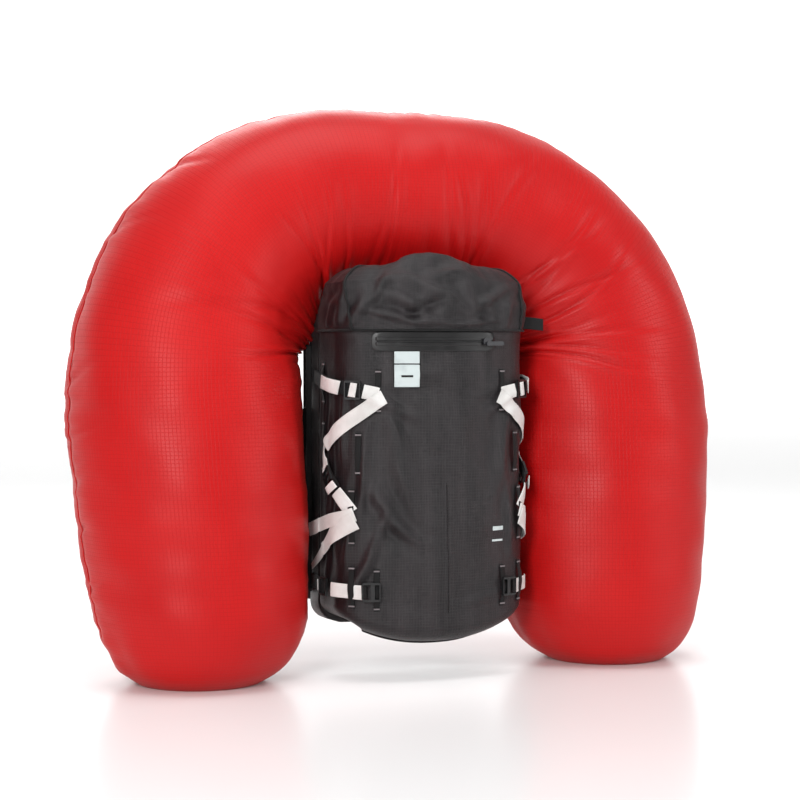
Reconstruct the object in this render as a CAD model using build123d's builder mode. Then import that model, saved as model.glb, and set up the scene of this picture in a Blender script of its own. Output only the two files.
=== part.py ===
from build123d import *
from math import cos, radians, sin, sqrt
import os

# Ski backpack with an avalanche airbag, standing inflated on the two legs of its airbag.
# Millimetres. +Z is up, the pack's front faces -Y, and the wearer stands on the +Y side.
# The origin is on the floor, at the centre of the whole object's footprint.

os.makedirs("parts", exist_ok=True)

# ---- Driving dimensions ----
GAP = 0.3  # between pieces that only touch
PAIR_GAP = 1.0  # between pieces that move past each other

# Airbag: an upside-down U of one fat tube, leaning back
bag_height = 837.0
bag_bend = 250.0  # radius of the arch's corners, on the tube's axis
bag_top_radius = 137.0
bag_spring_radius = 168.0  # tube where the legs turn into the arch
bag_foot_y = -44.0
bag_slope = 0.13  # lean of the axis per millimetre of height
bag_wall = 1.2
foot_radius = 88.0
foot_gap = 92.0  # side of the pack to the foot
spring_gap = 20.0  # side of the pack to the leg where it turns into the arch
# height, gap between the leg and the side of the pack, tube radius
leg_sections = [(25.0, 55.0, 122.0), (70.0, 26.0, 148.0), (145.0, 17.0, 160.0), (245.0, 15.5, 167.5),
                (348.0, 16.5, 170.5)]

# Body of the pack
body_width = 290.0
body_depth = 178.0  # front face to the plane of the back panel
body_back = 2.0
body_bottom = 60.0
body_rim = 515.0
front_radius = 300.0
corner_radius = 45.0
bottom_radius = 42.0
fabric = 2.0
bay_depth = 54.0
bay_bottom = 75.0
bay_top = 490.0
bay_slot = 9.0  # slit that the airbag comes out of
slot_inset = 9.0
slot_height = 330.0

# Lid
lid_skirt = 503.0
lid_top = 618.0
lid_front_top = 552.0
lid_gap = 1.0  # lid's inside to the body's outside
lid_draft = 11.0  # how far each side leans in
lid_bow = 17.0  # the top's middle above its corners
riser_top_y = -88.0
riser_width = 264.0
lid_tail_length = 38.0

# Webbing
web = 20.0
web_thick = 1.5
loop_web = 10.0  # tape of the lash loops
sewn = 7.0  # sewn-down end of a lash loop
strap_near = 0.3  # gap under a strap
buckle_thick = 4.0
base_z = 132.0  # middle of the base strap in front
stitch_thick = 0.6

# Front pocket's zip and patch
zip_low = 474.0
zip_height = 28.0
zip_left = -104.0
zip_right = 84.0
zip_thick = 0.8
slider_x = 68.0
patch_left = -73.0
patch_width = 36.0
patch_low = 423.0
patch_split = 455.0
patch_top = 473.7

# Gas system, in the bay
cylinder_radius = 20.0
cylinder_bottom = 120.0
cylinder_length = 215.0
cylinder_x = 60.0
neck_radius = 8.0
neck_length = 18.0
valve_size = 34.0
valve_height = 42.0
duct_radius = 19.0
duct_wall = 1.5
hose_radius = 5.0
valve_lug = 12.0  # height of the lever's lugs on the valve
pin_radius = 1.5
striker_radius = 2.5
striker_depth = 12.0
pivot_height = 8.0  # lever's pivot above the valve
inflator_height = 34.0
cable_radius = 2.5
lever_length = 34.0

# Back and harness
sheet_width = 240.0
sheet_bottom = 85.0
sheet_top = 480.0
sheet_thick = 1.5
stay_x = 50.0
stay_width = 12.0
stay_thick = 3.0
foam_thick = 20.0
strap_x = 80.0
strap_width = 60.0
strap_thick = 12.0
strap_top_z = 455.0
strap_low_z = 215.0
strap_reach = 66.0  # back panel to the middle of the hanging strap
belt_x = 118.0
belt_height = 80.0
belt_low = 100.0
belt_thick = 10.0
belt_length = 120.0
chest_z = 330.0
wing_step = 15.0  # how far a hip wing stands outside the back's edge
socket_height = 40.0
grip_height = 70.0
back_corner = 25.0  # corner radius of the frame sheet and the foam
groove_width = 36.0  # air channel down the foam

# ---- Places worked out from them ----
half = body_width / 2
front_y = body_back - body_depth
arc_y = front_y + front_radius  # centre of the front face's curve
bay_front = body_back - bay_depth
bay_mid = body_back - bay_depth / 2
slot_y = body_back - slot_inset
corner_x = half - corner_radius
corner_y = arc_y - sqrt((front_radius - corner_radius) ** 2 - corner_x**2)
bag_leg_x = half + spring_gap + bag_spring_radius
bag_top_z = bag_height - bag_top_radius  # axis of the arch's top
bag_spring_z = bag_top_z - bag_bend
bag_top_y = bag_foot_y + bag_slope * bag_top_z
front_loop_x = half - 48.0
sheet_y = body_back + GAP
foam_y = sheet_y + sheet_thick + GAP
foam_back = foam_y + foam_thick
over_web = strap_near + web_thick + strap_near
buckle_lift = over_web + web_thick + 2.5 + buckle_thick / 2  # middle of a buckle, off the body


def save(piece, name):
    """Labels a finished piece and writes it."""
    piece.label = name
    export_step(piece, f"parts/{name}.step")


def save_both(piece, name):
    """Writes a left piece and its mirror image together, as one group."""
    save(Compound(children=[*piece.solids(), *mirror(piece, about=Plane.YZ).solids()]), name)


def save_pair(piece, name):
    """Writes a left piece, and its mirror image as the right one."""
    save(piece, f"{name}_left")
    save(mirror(piece, about=Plane.YZ), f"{name}_right")


def outline(grow, back):
    """Plan of the body, grown by some millimetres, with its straight back at y = back."""
    side, radius = half + grow, front_radius + grow
    corner = arc_y - sqrt(radius**2 - side**2)
    with BuildSketch() as plan:
        with BuildLine():
            Polyline((-side, corner), (-side, back), (side, back), (side, corner))
            ThreePointArc((side, corner), (0, arc_y - radius), (-side, corner))
        make_face()
        fillet(plan.vertices().group_by(Axis.Y)[0], corner_radius + grow)
    return plan.sketch


def skin(near, far, low, high):
    """A sleeve round the body's front and sides, from near to far outside it."""
    with BuildPart() as sleeve:
        with BuildSketch(Plane.XY.offset(low)):
            add(outline(far, body_back))
            add(outline(near, body_back + 1), mode=Mode.SUBTRACT)
        extrude(amount=high - low)
    return sleeve.part


def front_spot(x):
    """A place on the front face: its point in plan and its outward direction."""
    point = Vector(x, arc_y - sqrt(front_radius**2 - x**2), 0)
    return point, (point - Vector(0, arc_y, 0)).normalized()


def corner_spot(angle):
    """A place on the left front corner, at an angle from the side towards the front."""
    outward = Vector(-cos(radians(angle)), -sin(radians(angle)), 0)
    return Vector(-corner_x, corner_y, 0) + outward * corner_radius, outward


def side_spot(y):
    """A place on the left side."""
    return Vector(-half, y, 0), Vector(-1, 0, 0)


def strip(start, end, width=web, near=strap_near, thick=web_thick):
    """Webbing laid on the left of the body, in a straight line between two (place, height) pairs."""
    (first, first_out), first_z = start
    (last, last_out), last_z = end
    a, b = first + Vector(0, 0, first_z), last + Vector(0, 0, last_z)
    outward = (first_out + last_out).normalized()
    along = (b - a).normalized()
    across = along.cross(outward).normalized()
    low, high = min(a.Z, b.Z) - width, max(a.Z, b.Z) + width
    with BuildPart() as piece:
        add(skin(near, near + thick, low, high))
        with BuildSketch(Plane(origin=(a + b) * 0.5 - across * width / 2, x_dir=along, z_dir=across)):
            Rectangle((b - a).length, 4 * corner_radius)
        extrude(amount=width, mode=Mode.INTERSECT)
    return piece.part


def tape_loop(spot, low, high):
    """An upright webbing loop, sewn down at both ends, with room for a strap behind it."""
    with BuildPart() as loop:
        add(strip((spot, low), (spot, high), loop_web, over_web, web_thick))
        add(strip((spot, low), (spot, low + sewn), loop_web, strap_near, over_web))
        add(strip((spot, high - sewn), (spot, high), loop_web, strap_near, over_web))
    return loop.part


def bartacks(spot, low, high):
    """The stitched bars at both ends of a webbing loop."""
    near = over_web + web_thick + GAP
    with BuildPart() as bars:
        for z in (low + 2, high - 5):
            add(strip((spot, z), (spot, z + 3), loop_web - 1, near, stitch_thick))
    return bars.part


def buckle(spot, z, length, windows, rise=0.0):
    """A flat buckle frame that lies along a strap on the left of the body."""
    point, outward = spot
    centre = point + outward * buckle_lift + Vector(0, 0, z)
    along = Vector(outward.Y, -outward.X, rise).normalized()
    opening = length / windows - 3
    with BuildPart(Plane(origin=centre, x_dir=along, z_dir=outward)) as piece:
        Box(length, web + 7, buckle_thick)
        fillet(piece.edges().filter_by(lambda e: abs(e.tangent_at(0).dot(outward)) > 0.99), 3)
        with GridLocations(opening + 2, 1, windows, 1):
            Box(opening, web + 1, 2 * buckle_thick, mode=Mode.SUBTRACT)
    return piece.part


# ---- Airbag ----
def bag_sections(wall):
    """Place, heading and radius of the tube's sections, from the left foot over to the right foot."""
    left = [(-half - foot_gap - foot_radius, wall, 0.0, foot_radius)]
    for height, gap, radius in leg_sections:
        left.append((-half - gap - radius, height, 0.0, radius))
    for angle in (0.0, 22.5, 45.0, 67.5, 90.0):
        c, s = cos(radians(angle)), sin(radians(angle))
        radius = bag_top_radius + (bag_spring_radius - bag_top_radius) * (1 - s) ** 1.2
        left.append((bag_bend - bag_leg_x - bag_bend * c, bag_spring_z + bag_bend * s, angle, radius))
    top = [(0.0, bag_top_z, 90.0, bag_top_radius)]
    right = [(-x, z, 180 - angle, radius) for x, z, angle, radius in reversed(left)]
    return left + top + right


def bag_form(wall):
    """The airbag's shape, taken in by some wall all over."""
    with BuildPart() as form:
        for x, z, angle, radius in bag_sections(wall):
            place = Vector(x, bag_foot_y + bag_slope * z, z)
            heading = Vector(sin(radians(angle)), 0, cos(radians(angle)))
            with BuildSketch(Plane(origin=place, x_dir=(0, 1, 0), z_dir=heading)):
                Circle(radius - wall)
        loft()
    return form.part


bag_solid = bag_form(0)
duct_low = bay_top - 30.0
duct_high = bag_top_z - sqrt(bag_top_radius**2 - (bag_top_y - bay_mid) ** 2) + 30.0

with BuildPart() as airbag:
    add(bag_solid)
    add(bag_form(bag_wall), mode=Mode.SUBTRACT)
    with BuildSketch(Plane.XY.offset(bay_top)):
        with Locations((0, bay_mid)):
            Circle(duct_radius + GAP)
    extrude(amount=duct_high - bay_top, mode=Mode.SUBTRACT)
save(airbag.part, "airbag")

with BuildPart() as airbag_duct:
    with BuildSketch(Plane.XY.offset(duct_low)):
        with Locations((0, bay_mid)):
            Circle(duct_radius)
            Circle(duct_radius - duct_wall, mode=Mode.SUBTRACT)
    extrude(amount=duct_high - duct_low)
save(airbag_duct.part, "airbag_duct")

# ---- Body ----
with BuildPart() as pack_shell:
    with BuildSketch(Plane.XY.offset(body_bottom)):
        add(outline(0, bay_front))
    extrude(amount=body_rim - body_bottom)
    low_edges = pack_shell.edges().group_by(Axis.Z)[0]
    fillet(low_edges.sort_by(Axis.Y)[:-1], bottom_radius)
    offset(amount=-fabric, openings=pack_shell.faces().sort_by(Axis.Z)[-1])
save(pack_shell.part, "pack_shell")

with BuildPart() as bottom_panel:
    with BuildSketch(Plane.XY.offset(body_bottom - web_thick - GAP)):
        add(outline(-bottom_radius - 2, bay_front))
    extrude(amount=web_thick)
save(bottom_panel.part, "bottom_panel")

bay_y = (bay_front + GAP + body_back) / 2
bay_inside = body_back - bay_front - GAP
cable_hole_z = strap_top_z + strap_thick / 2 + GAP + cable_radius
with BuildPart() as airbag_bay:
    with BuildSketch(Plane.XY.offset(bay_bottom)):
        with Locations((0, bay_y)):
            Rectangle(body_width, bay_inside)
    extrude(amount=bay_top - bay_bottom)
    with BuildSketch(Plane.XY.offset(bay_bottom + fabric)):
        with Locations((0, bay_y)):
            Rectangle(body_width - 2 * fabric, bay_inside - 2 * fabric)
    extrude(amount=bay_top - bay_bottom - 2 * fabric, mode=Mode.SUBTRACT)
    slot_z = (bay_bottom + bay_top) / 2
    with Locations((-half, slot_y, slot_z), (half, slot_y, slot_z)):
        Box(5 * fabric, bay_slot, slot_height, mode=Mode.SUBTRACT)
    with Locations((0, slot_y, bay_top)):
        Box(body_width - 90, bay_slot, 3 * fabric, mode=Mode.SUBTRACT)
    with Locations((0, bay_mid, bay_top)):
        Cylinder(duct_radius + GAP, 3 * fabric, mode=Mode.SUBTRACT)
    with BuildSketch(Plane.XZ.offset(-body_back - 1)):
        with Locations((-strap_x, cable_hole_z)):
            Circle(cable_radius + PAIR_GAP)
    extrude(amount=2 * fabric, mode=Mode.SUBTRACT)
save(airbag_bay.part, "airbag_bay")

# Webbing tabs through the slits hold the airbag's legs to the pack.
with BuildPart() as airbag_tabs:
    for z in (bay_bottom + 190, bay_top - 130):
        with Locations((-half - 5, slot_y, z)):
            Box(44, web_thick, 60)
    add(bag_form(-GAP), mode=Mode.SUBTRACT)
save_both(airbag_tabs.part, "airbag_tabs")

# The lips of the burst zip stand open along the slit.
with BuildPart() as bay_lips:
    for side in (-1, 1):
        with Locations((-half - 4.5 - GAP, slot_y + side * (bay_slot / 2 + 1.5), slot_z)):
            Box(9, 1.2, slot_height)
save_both(bay_lips.part, "bay_lips")


# ---- Riser and lid ----
def riser_line(z, forward=0.0):
    """Y of the riser's front face at a height."""
    share = (z - body_rim) / (lid_top - body_rim)
    return bay_front + (riser_top_y - bay_front) * share - forward


def bowed(low, top, reach):
    """A block under a bowed top, which is top high in the middle."""
    with BuildPart() as block:
        with BuildSketch(Plane.XZ.offset(-reach)):
            with BuildLine():
                Polyline((-half, top - lid_bow), (-half, low), (half, low), (half, top - lid_bow))
                ThreePointArc((half, top - lid_bow), (0, top), (-half, top - lid_bow))
            make_face()
        extrude(amount=2 * (reach + body_depth))
        scale(by=(1.1, 1, 1))
    return block.part


riser_clear = fabric + 3
with BuildPart() as lid_riser:
    with BuildSketch(Plane.YZ.offset(-riser_width / 2)):
        with BuildLine():
            Polyline(
                (riser_line(body_rim + GAP), body_rim + GAP),
                (riser_line(lid_top), lid_top),
                (riser_line(lid_top) + fabric, lid_top),
                (riser_line(body_rim + GAP) + fabric, body_rim + GAP),
                close=True,
            )
        make_face()
    extrude(amount=riser_width)
    add(bowed(body_rim, lid_top - riser_clear, body_depth), mode=Mode.INTERSECT)
save(lid_riser.part, "lid_riser")


def lid_block(inset):
    """The lid's outer block, or the room inside it when inset by the fabric."""
    grow = lid_gap + fabric - inset
    straight = body_rim + 3
    top, front_top = lid_top - inset, lid_front_top - inset
    start = lid_skirt - inset
    with BuildPart() as block:
        with BuildSketch(Plane.XY.offset(start)):
            add(outline(grow, bay_front))
        extrude(amount=straight - start)
        with BuildSketch(Plane.XY.offset(straight)):
            add(outline(grow, bay_front))
        with BuildSketch(Plane.XY.offset(lid_top + 1)):
            add(outline(grow - lid_draft, bay_front))
        loft()
        with BuildSketch(Plane.YZ.offset(-body_width)):
            back = 0 if inset else lid_gap
            near_top, near_low = (riser_line(top, back), top), (riser_line(body_rim, back), body_rim)
            front = front_y - 3 * corner_radius
            with BuildLine():
                Polyline(near_top, near_low, (near_low[0], start), (front, start), (front, front_top - 40),
                         (front_y, front_top))
                ThreePointArc((front_y, front_top), ((front_y + riser_top_y) / 2, (front_top + top) / 2 + 12),
                              near_top)
            make_face()
        extrude(amount=2 * body_width, mode=Mode.INTERSECT)
        add(bowed(start, top, body_depth), mode=Mode.INTERSECT)
    return block.part


with BuildPart() as lid:
    add(lid_block(0))
    add(lid_block(fabric), mode=Mode.SUBTRACT)
save(lid.part, "lid")

# ---- Front zip, patch, tapes and straps ----
with BuildPart() as zip_tape:
    add(skin(GAP, GAP + zip_thick, zip_low - 5, zip_low + zip_height + 5))
    with BuildSketch(Plane.XZ):
        with Locations(((zip_left + zip_right) / 2, zip_low + zip_height / 2)):
            RectangleRounded(zip_right - zip_left, zip_height, zip_height / 2 - 1)
    extrude(amount=2 * body_depth, mode=Mode.INTERSECT)
save(zip_tape.part, "zip_tape")

slider_point, slider_out = front_spot(slider_x)
slider_foot = slider_point + slider_out * (GAP + zip_thick + GAP) + Vector(0, 0, zip_low + zip_height / 2)
slider_plane = Plane(origin=slider_foot, x_dir=(-slider_out.Y, slider_out.X, 0), z_dir=slider_out)
with BuildPart(slider_plane) as zip_slider:
    with Locations((0, 0, 2)):
        Box(13, 9, 3.4)
    fillet(zip_slider.edges().filter_by(lambda e: abs(e.tangent_at(0).dot(slider_out)) > 0.99), 2.5)
save(zip_slider.part, "zip_slider")

with BuildPart(slider_plane) as zip_puller:
    with Locations((12, -3, 5.2)):
        Box(30, 6, 2.4)
    fillet(zip_puller.edges().filter_by(lambda e: abs(e.tangent_at(0).dot(slider_out)) > 0.99), 2)
save(zip_puller.part, "zip_puller")



def patch_field(low, high, right):
    """One field of the reflective patch, from patch_left to right on the front face."""
    with BuildPart() as field:
        add(skin(GAP, GAP + stitch_thick, low, high))
        with Locations(((patch_left + right) / 2, front_y, (low + high) / 2)):
            Box(right - patch_left, 2 * corner_radius, high - low, mode=Mode.INTERSECT)
    return field.part


with BuildPart() as reflective_patch:
    add(patch_field(patch_low, patch_split, patch_left + patch_width))
    add(patch_field(patch_split + 1.5, patch_top, patch_left + patch_width - 2.5))
save(reflective_patch.part, "reflective_patch")

front_line, corner_line, rear_line = front_spot(-front_loop_x), corner_spot(50), side_spot(-72)
loops = [(front_line, 382, 448), (front_line, 104, 164), (corner_spot(62), 298, 358), (corner_line, 198, 278),
         (corner_line, 108, 168), (rear_line, 398, 458), (rear_line, 300, 372)]
with BuildPart() as lash_loops:
    for spot, low, high in loops:
        add(tape_loop(spot, low, high))
save_both(lash_loops.part, "lash_loops")

with BuildPart() as loop_bartacks:
    for spot, low, high in loops:
        add(bartacks(spot, low, high))
save_both(loop_bartacks.part, "loop_bartacks")

over_front, back_front = front_spot(9 - front_loop_x), front_spot(5 - front_loop_x)
zigzag = [((side_spot(-60), 427), (over_front, 411)), ((back_front, 412), (side_spot(-76), 339)),
          ((side_spot(-88), 346), (side_spot(-103), 300)), ((side_spot(-100), 310), (corner_spot(54), 236)),
          ((corner_spot(57), 230), (side_spot(-25), 158)), ((corner_spot(57), 232), (side_spot(-24), 213))]
with BuildPart() as side_strap:
    for start, end in zigzag:
        add(strip(start, end))
save_pair(side_strap.part, "side_strap")

with BuildPart() as base_strap:
    add(strip((side_spot(-18), 136), (corner_spot(70), base_z)))
save_pair(base_strap.part, "base_strap")

with BuildPart() as ladder_locks:
    add(buckle(corner_spot(54), 419, 24, 2))
    add(buckle(side_spot(-108), 294, 24, 2, 1.2))
    add(buckle(side_spot(-90), base_z + 2, 26, 2))
save_both(ladder_locks.part, "ladder_locks")

hook_spot = front_spot(-front_loop_x - 7)
with BuildPart() as base_hook:
    add(buckle(hook_spot, base_z, 26, 1))
    hook_out = hook_spot[1]
    hook_along = Vector(hook_out.Y, -hook_out.X, 0)
    hook_mid = hook_spot[0] + hook_out * buckle_lift + Vector(0, 0, base_z)
    with Locations(Plane(origin=hook_mid - hook_along * 2, x_dir=hook_along, z_dir=hook_out)):
        Box(6, web + 3, buckle_thick)
save_pair(base_hook.part, "base_hook")

with BuildPart() as lid_tail:
    with Locations((half + lid_gap + fabric + GAP + lid_tail_length / 2, -110, lid_skirt + 13)):
        Box(lid_tail_length, web_thick, web)
save(lid_tail.part, "lid_tail")

# ---- Gas system ----
inflator_low = duct_low - inflator_height + 6
with BuildPart() as inflator:
    with BuildSketch(Plane.XY.offset(inflator_low)):
        with Locations((0, bay_mid)):
            Circle(duct_radius + 4)
    extrude(amount=inflator_height)
    with BuildSketch(Plane.XY.offset(inflator_low + 4)):
        with Locations((0, bay_mid)):
            Circle(duct_radius + GAP)
    extrude(amount=inflator_height, mode=Mode.SUBTRACT)
    with Locations((0, bay_mid - duct_radius - 2, inflator_low + 13)):
        Box(20, 14, 14, mode=Mode.SUBTRACT)
save(inflator.part, "inflator")

# A check valve's flap lets outside air in while the gas streams past, then falls shut.
flap_y = bay_mid - duct_radius + 1
with BuildPart() as inflator_flap:
    with Locations((0, flap_y + 3.5, inflator_low + 13)):
        Box(17, 1.2, 15)
    with BuildSketch(Plane.YZ.offset(-8.5)):
        with Locations((flap_y + 4, inflator_low + 21)):
            Circle(1.2)
    extrude(amount=17)
save(inflator_flap.part, "inflator_flap")

valve_low = cylinder_bottom + cylinder_length + 10
valve_top = valve_low + valve_height
with BuildPart() as gas_cartridge:
    with BuildSketch(Plane.XY.offset(cylinder_bottom)):
        with Locations((cylinder_x, bay_mid)):
            Circle(cylinder_radius)
    extrude(amount=cylinder_length)
    fillet(gas_cartridge.edges(), cylinder_radius * 0.45)
    with BuildSketch(Plane.XY.offset(cylinder_bottom + cylinder_length - 1)):
        with Locations((cylinder_x, bay_mid)):
            Circle(neck_radius)
    extrude(amount=neck_length)
save(gas_cartridge.part, "gas_cartridge")

striker_y = bay_mid + lever_length / 2 - 5
with BuildPart() as release_valve:
    with Locations((cylinder_x, bay_mid, valve_low + valve_height / 2)):
        Box(valve_size, valve_size, valve_height)
    fillet(release_valve.edges().filter_by(Axis.Z), 5)
    for lug_x in (cylinder_x - 7, cylinder_x + 7):
        with Locations((lug_x, bay_mid, valve_top + valve_lug / 2)):
            Box(4, 8, valve_lug)
    with BuildSketch(Plane.XY.offset(valve_low)):
        with Locations((cylinder_x, bay_mid)):
            Circle(neck_radius + GAP)
    extrude(amount=neck_length, mode=Mode.SUBTRACT)
    with BuildSketch(Plane.XY.offset(valve_top)):
        with Locations((cylinder_x, striker_y)):
            Circle(striker_radius + GAP)
    extrude(amount=-1.5 * striker_depth, mode=Mode.SUBTRACT)
    with BuildSketch(Plane.YZ.offset(cylinder_x - valve_size)):
        with Locations((bay_mid, valve_top + pivot_height)):
            Circle(pin_radius + GAP)
    extrude(amount=2 * valve_size, mode=Mode.SUBTRACT)
save(release_valve.part, "release_valve")

with BuildPart() as firing_lever:
    with Locations((cylinder_x, bay_mid, valve_top + pivot_height)):
        Box(8, lever_length, 5)
    with BuildSketch(Plane.YZ.offset(cylinder_x - valve_size)):
        with Locations((bay_mid, valve_top + pivot_height)):
            Circle(pin_radius + GAP)
    extrude(amount=2 * valve_size, mode=Mode.SUBTRACT)
save(firing_lever.part, "firing_lever")

with BuildPart() as lever_pin:
    with BuildSketch(Plane.YZ.offset(cylinder_x - 10)):
        with Locations((bay_mid, valve_top + pivot_height)):
            Circle(pin_radius)
    extrude(amount=20)
save(lever_pin.part, "lever_pin")

with BuildPart() as striker:
    with BuildSketch(Plane.XY.offset(valve_top - striker_depth)):
        with Locations((cylinder_x, striker_y)):
            Circle(striker_radius)
    extrude(amount=striker_depth + 5)
save(striker.part, "striker")

with BuildPart() as gas_hose:
    with BuildLine():
        hose_line = FilletPolyline(
            (cylinder_x - valve_size / 2 - GAP, bay_mid, valve_low + 12),
            (0, bay_mid, valve_low + 12),
            (0, bay_mid, inflator_low - GAP),
            radius=18,
        )
    with BuildSketch(Plane(origin=hose_line @ 0, z_dir=hose_line % 0)):
        Circle(hose_radius)
    sweep(path=hose_line)
save(gas_hose.part, "gas_hose")

strap_y = foam_back + strap_reach
cable_y = strap_y + strap_thick / 2 + GAP + cable_radius
cable_bay_y = bay_mid - lever_length / 2 + 5
cable_turn_z = inflator_low - 9
with BuildPart() as trigger_cable:
    with BuildLine():
        cable_line = FilletPolyline(
            (-strap_x, cable_y, chest_z + socket_height / 2 + GAP),
            (-strap_x, cable_y, cable_hole_z),
            (-strap_x, cable_bay_y, cable_hole_z),
            (-strap_x, cable_bay_y, cable_turn_z),
            (cylinder_x, cable_bay_y, cable_turn_z),
            (cylinder_x, cable_bay_y, valve_top + 16),
            radius=10,
        )
    with BuildSketch(Plane(origin=cable_line @ 0, z_dir=cable_line % 0)):
        Circle(cable_radius)
    sweep(path=cable_line)
save(trigger_cable.part, "trigger_cable")

# ---- Back panel ----
with BuildPart() as frame_sheet:
    with BuildSketch(Plane.XZ.offset(-sheet_y)):
        with Locations((0, (sheet_bottom + sheet_top) / 2)):
            RectangleRounded(sheet_width, sheet_top - sheet_bottom, back_corner)
        with Locations((-strap_x, cable_hole_z)):
            Circle(cable_radius + PAIR_GAP, mode=Mode.SUBTRACT)
    extrude(amount=-sheet_thick)
save(frame_sheet.part, "frame_sheet")

with BuildPart() as stay:
    with Locations((-stay_x, foam_y + stay_thick / 2, (sheet_bottom + sheet_top) / 2)):
        Box(stay_width, stay_thick, sheet_top - sheet_bottom - 50)
    fillet(stay.edges().filter_by(Axis.Y), 5)
save_both(stay.part, "frame_stays")

with BuildPart() as back_foam:
    with BuildSketch(Plane.XZ.offset(-foam_y)):
        with Locations((0, (sheet_bottom + sheet_top) / 2)):
            RectangleRounded(sheet_width, sheet_top - sheet_bottom, back_corner)
        with Locations((-strap_x, cable_hole_z)):
            Circle(cable_radius + PAIR_GAP, mode=Mode.SUBTRACT)
    extrude(amount=-foam_thick)
    fillet(back_foam.faces().sort_by(Axis.Y)[-1].outer_wire().edges(), 6)
    with Locations((-stay_x, foam_y, slot_z), (stay_x, foam_y, slot_z)):
        Box(stay_width + 1, 2 * (stay_thick + GAP), sheet_top - sheet_bottom - 40, mode=Mode.SUBTRACT)
    with Locations((0, foam_back, slot_z)):
        Box(groove_width, 12, sheet_top, mode=Mode.SUBTRACT)
save(back_foam.part, "back_foam")

with BuildPart() as haul_loop:
    with BuildLine():
        haul_line = FilletPolyline(
            (-45, sheet_y + 6, sheet_top + 2), (-38, sheet_y + 12, sheet_top + 40),
            (38, sheet_y + 12, sheet_top + 40), (45, sheet_y + 6, sheet_top + 2), radius=18,
        )
    with BuildSketch(Plane(origin=haul_line @ 0, x_dir=(0, 1, 0), z_dir=haul_line % 0)):
        Rectangle(10, 2.5)
    sweep(path=haul_line)
save(haul_loop.part, "haul_loop")

# ---- Harness ----
with BuildPart() as shoulder_strap:
    with BuildLine():
        strap_line = FilletPolyline(
            (-strap_x, foam_back + GAP, strap_top_z),
            (-strap_x, strap_y, strap_top_z),
            (-strap_x, strap_y, strap_low_z),
            radius=24,
        )
    with BuildSketch(Plane(origin=strap_line @ 0, x_dir=(1, 0, 0), z_dir=strap_line % 0)):
        Rectangle(strap_width, strap_thick)
    sweep(path=strap_line)
save_pair(shoulder_strap.part, "shoulder_strap")

with BuildPart() as strap_webbing:
    with BuildLine():
        lower_line = FilletPolyline(
            (-strap_x, strap_y, strap_low_z - GAP),
            (-strap_x, strap_y - 4, strap_low_z - 30),
            (-strap_x, foam_back + GAP, belt_low + belt_height + 12),
            radius=15,
        )
    with BuildSketch(Plane(origin=lower_line @ 0, x_dir=(1, 0, 0), z_dir=lower_line % 0)):
        Rectangle(web, web_thick)
    sweep(path=lower_line)
save_pair(strap_webbing.part, "strap_webbing")

trim_y = strap_y + strap_thick / 2 + GAP
chest_slider_x = strap_x - strap_width / 2 + 8
with BuildPart() as chest_slider:
    with Locations((-chest_slider_x, trim_y + 3, chest_z)):
        Box(14, 6, 26)
    fillet(chest_slider.edges().filter_by(Axis.Y), 3)
save_pair(chest_slider.part, "chest_slider")

buckle_y = trim_y + 3
with BuildPart() as chest_buckle_socket:
    with Locations((-11, buckle_y, chest_z)):
        Box(26, 8, 28)
    fillet(chest_buckle_socket.edges().filter_by(Axis.Y), 4)
    with Locations((-3, buckle_y, chest_z)):
        Box(22, 5, 20, mode=Mode.SUBTRACT)
save(chest_buckle_socket.part, "chest_buckle_socket")

with BuildPart() as chest_buckle_plug:
    with Locations((10, buckle_y, chest_z)):
        Box(16, 8, 28)
    fillet(chest_buckle_plug.edges().filter_by(Axis.Y), 4)
    with Locations((-2, buckle_y, chest_z - 6), (-2, buckle_y, chest_z + 6)):
        Box(12, 3.6, 4)
save(chest_buckle_plug.part, "chest_buckle_plug")

with BuildPart() as chest_webbing:
    for start, end in ((-chest_slider_x + 7 + GAP, -24 - GAP), (18 + GAP, chest_slider_x - 7 - GAP)):
        with Locations(((start + end) / 2, buckle_y, chest_z)):
            Box(end - start, web_thick, web)
save(chest_webbing.part, "chest_webbing")

# The release handle pulls down out of its socket.
handle_y = trim_y + 8.0 + GAP
with BuildPart() as trigger_socket:
    with BuildSketch(Plane.XY.offset(chest_z - socket_height / 2)):
        with Locations((-strap_x, handle_y)):
            RectangleRounded(24, 16, 4)
    extrude(amount=socket_height)
    with BuildSketch(Plane.XY.offset(chest_z - socket_height / 2)):
        with Locations((-strap_x, handle_y)):
            Rectangle(12, 7)
    extrude(amount=32, mode=Mode.SUBTRACT)
save(trigger_socket.part, "trigger_socket")

with BuildPart() as trigger_handle:
    with BuildSketch(Plane.XY.offset(chest_z - socket_height / 2 - PAIR_GAP)):
        with Locations((-strap_x, handle_y)):
            Rectangle(10, 5)
    extrude(amount=30)
    with BuildSketch(Plane.XY.offset(chest_z - socket_height / 2 - grip_height)):
        with Locations((-strap_x, handle_y)):
            RectangleRounded(22, 14, 4)
    extrude(amount=grip_height - PAIR_GAP)
save(trigger_handle.part, "trigger_handle")

hip_z = belt_low + belt_height / 2
hip_y = foam_back + belt_length + 34
wing_y = foam_back + GAP + belt_thick / 2 + 1
with BuildPart() as hip_wing:
    with BuildLine():
        wing_line = FilletPolyline(
            (-belt_x, wing_y, hip_z),
            (-belt_x - wing_step, wing_y, hip_z),
            (-belt_x - wing_step, foam_back + belt_length, hip_z),
            radius=wing_step - 1,
        )
    with BuildSketch(Plane(origin=wing_line @ 0, x_dir=(0, 0, 1), z_dir=wing_line % 0)):
        RectangleRounded(belt_height, belt_thick, 3)
    sweep(path=wing_line)
save_pair(hip_wing.part, "hip_wing")

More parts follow.
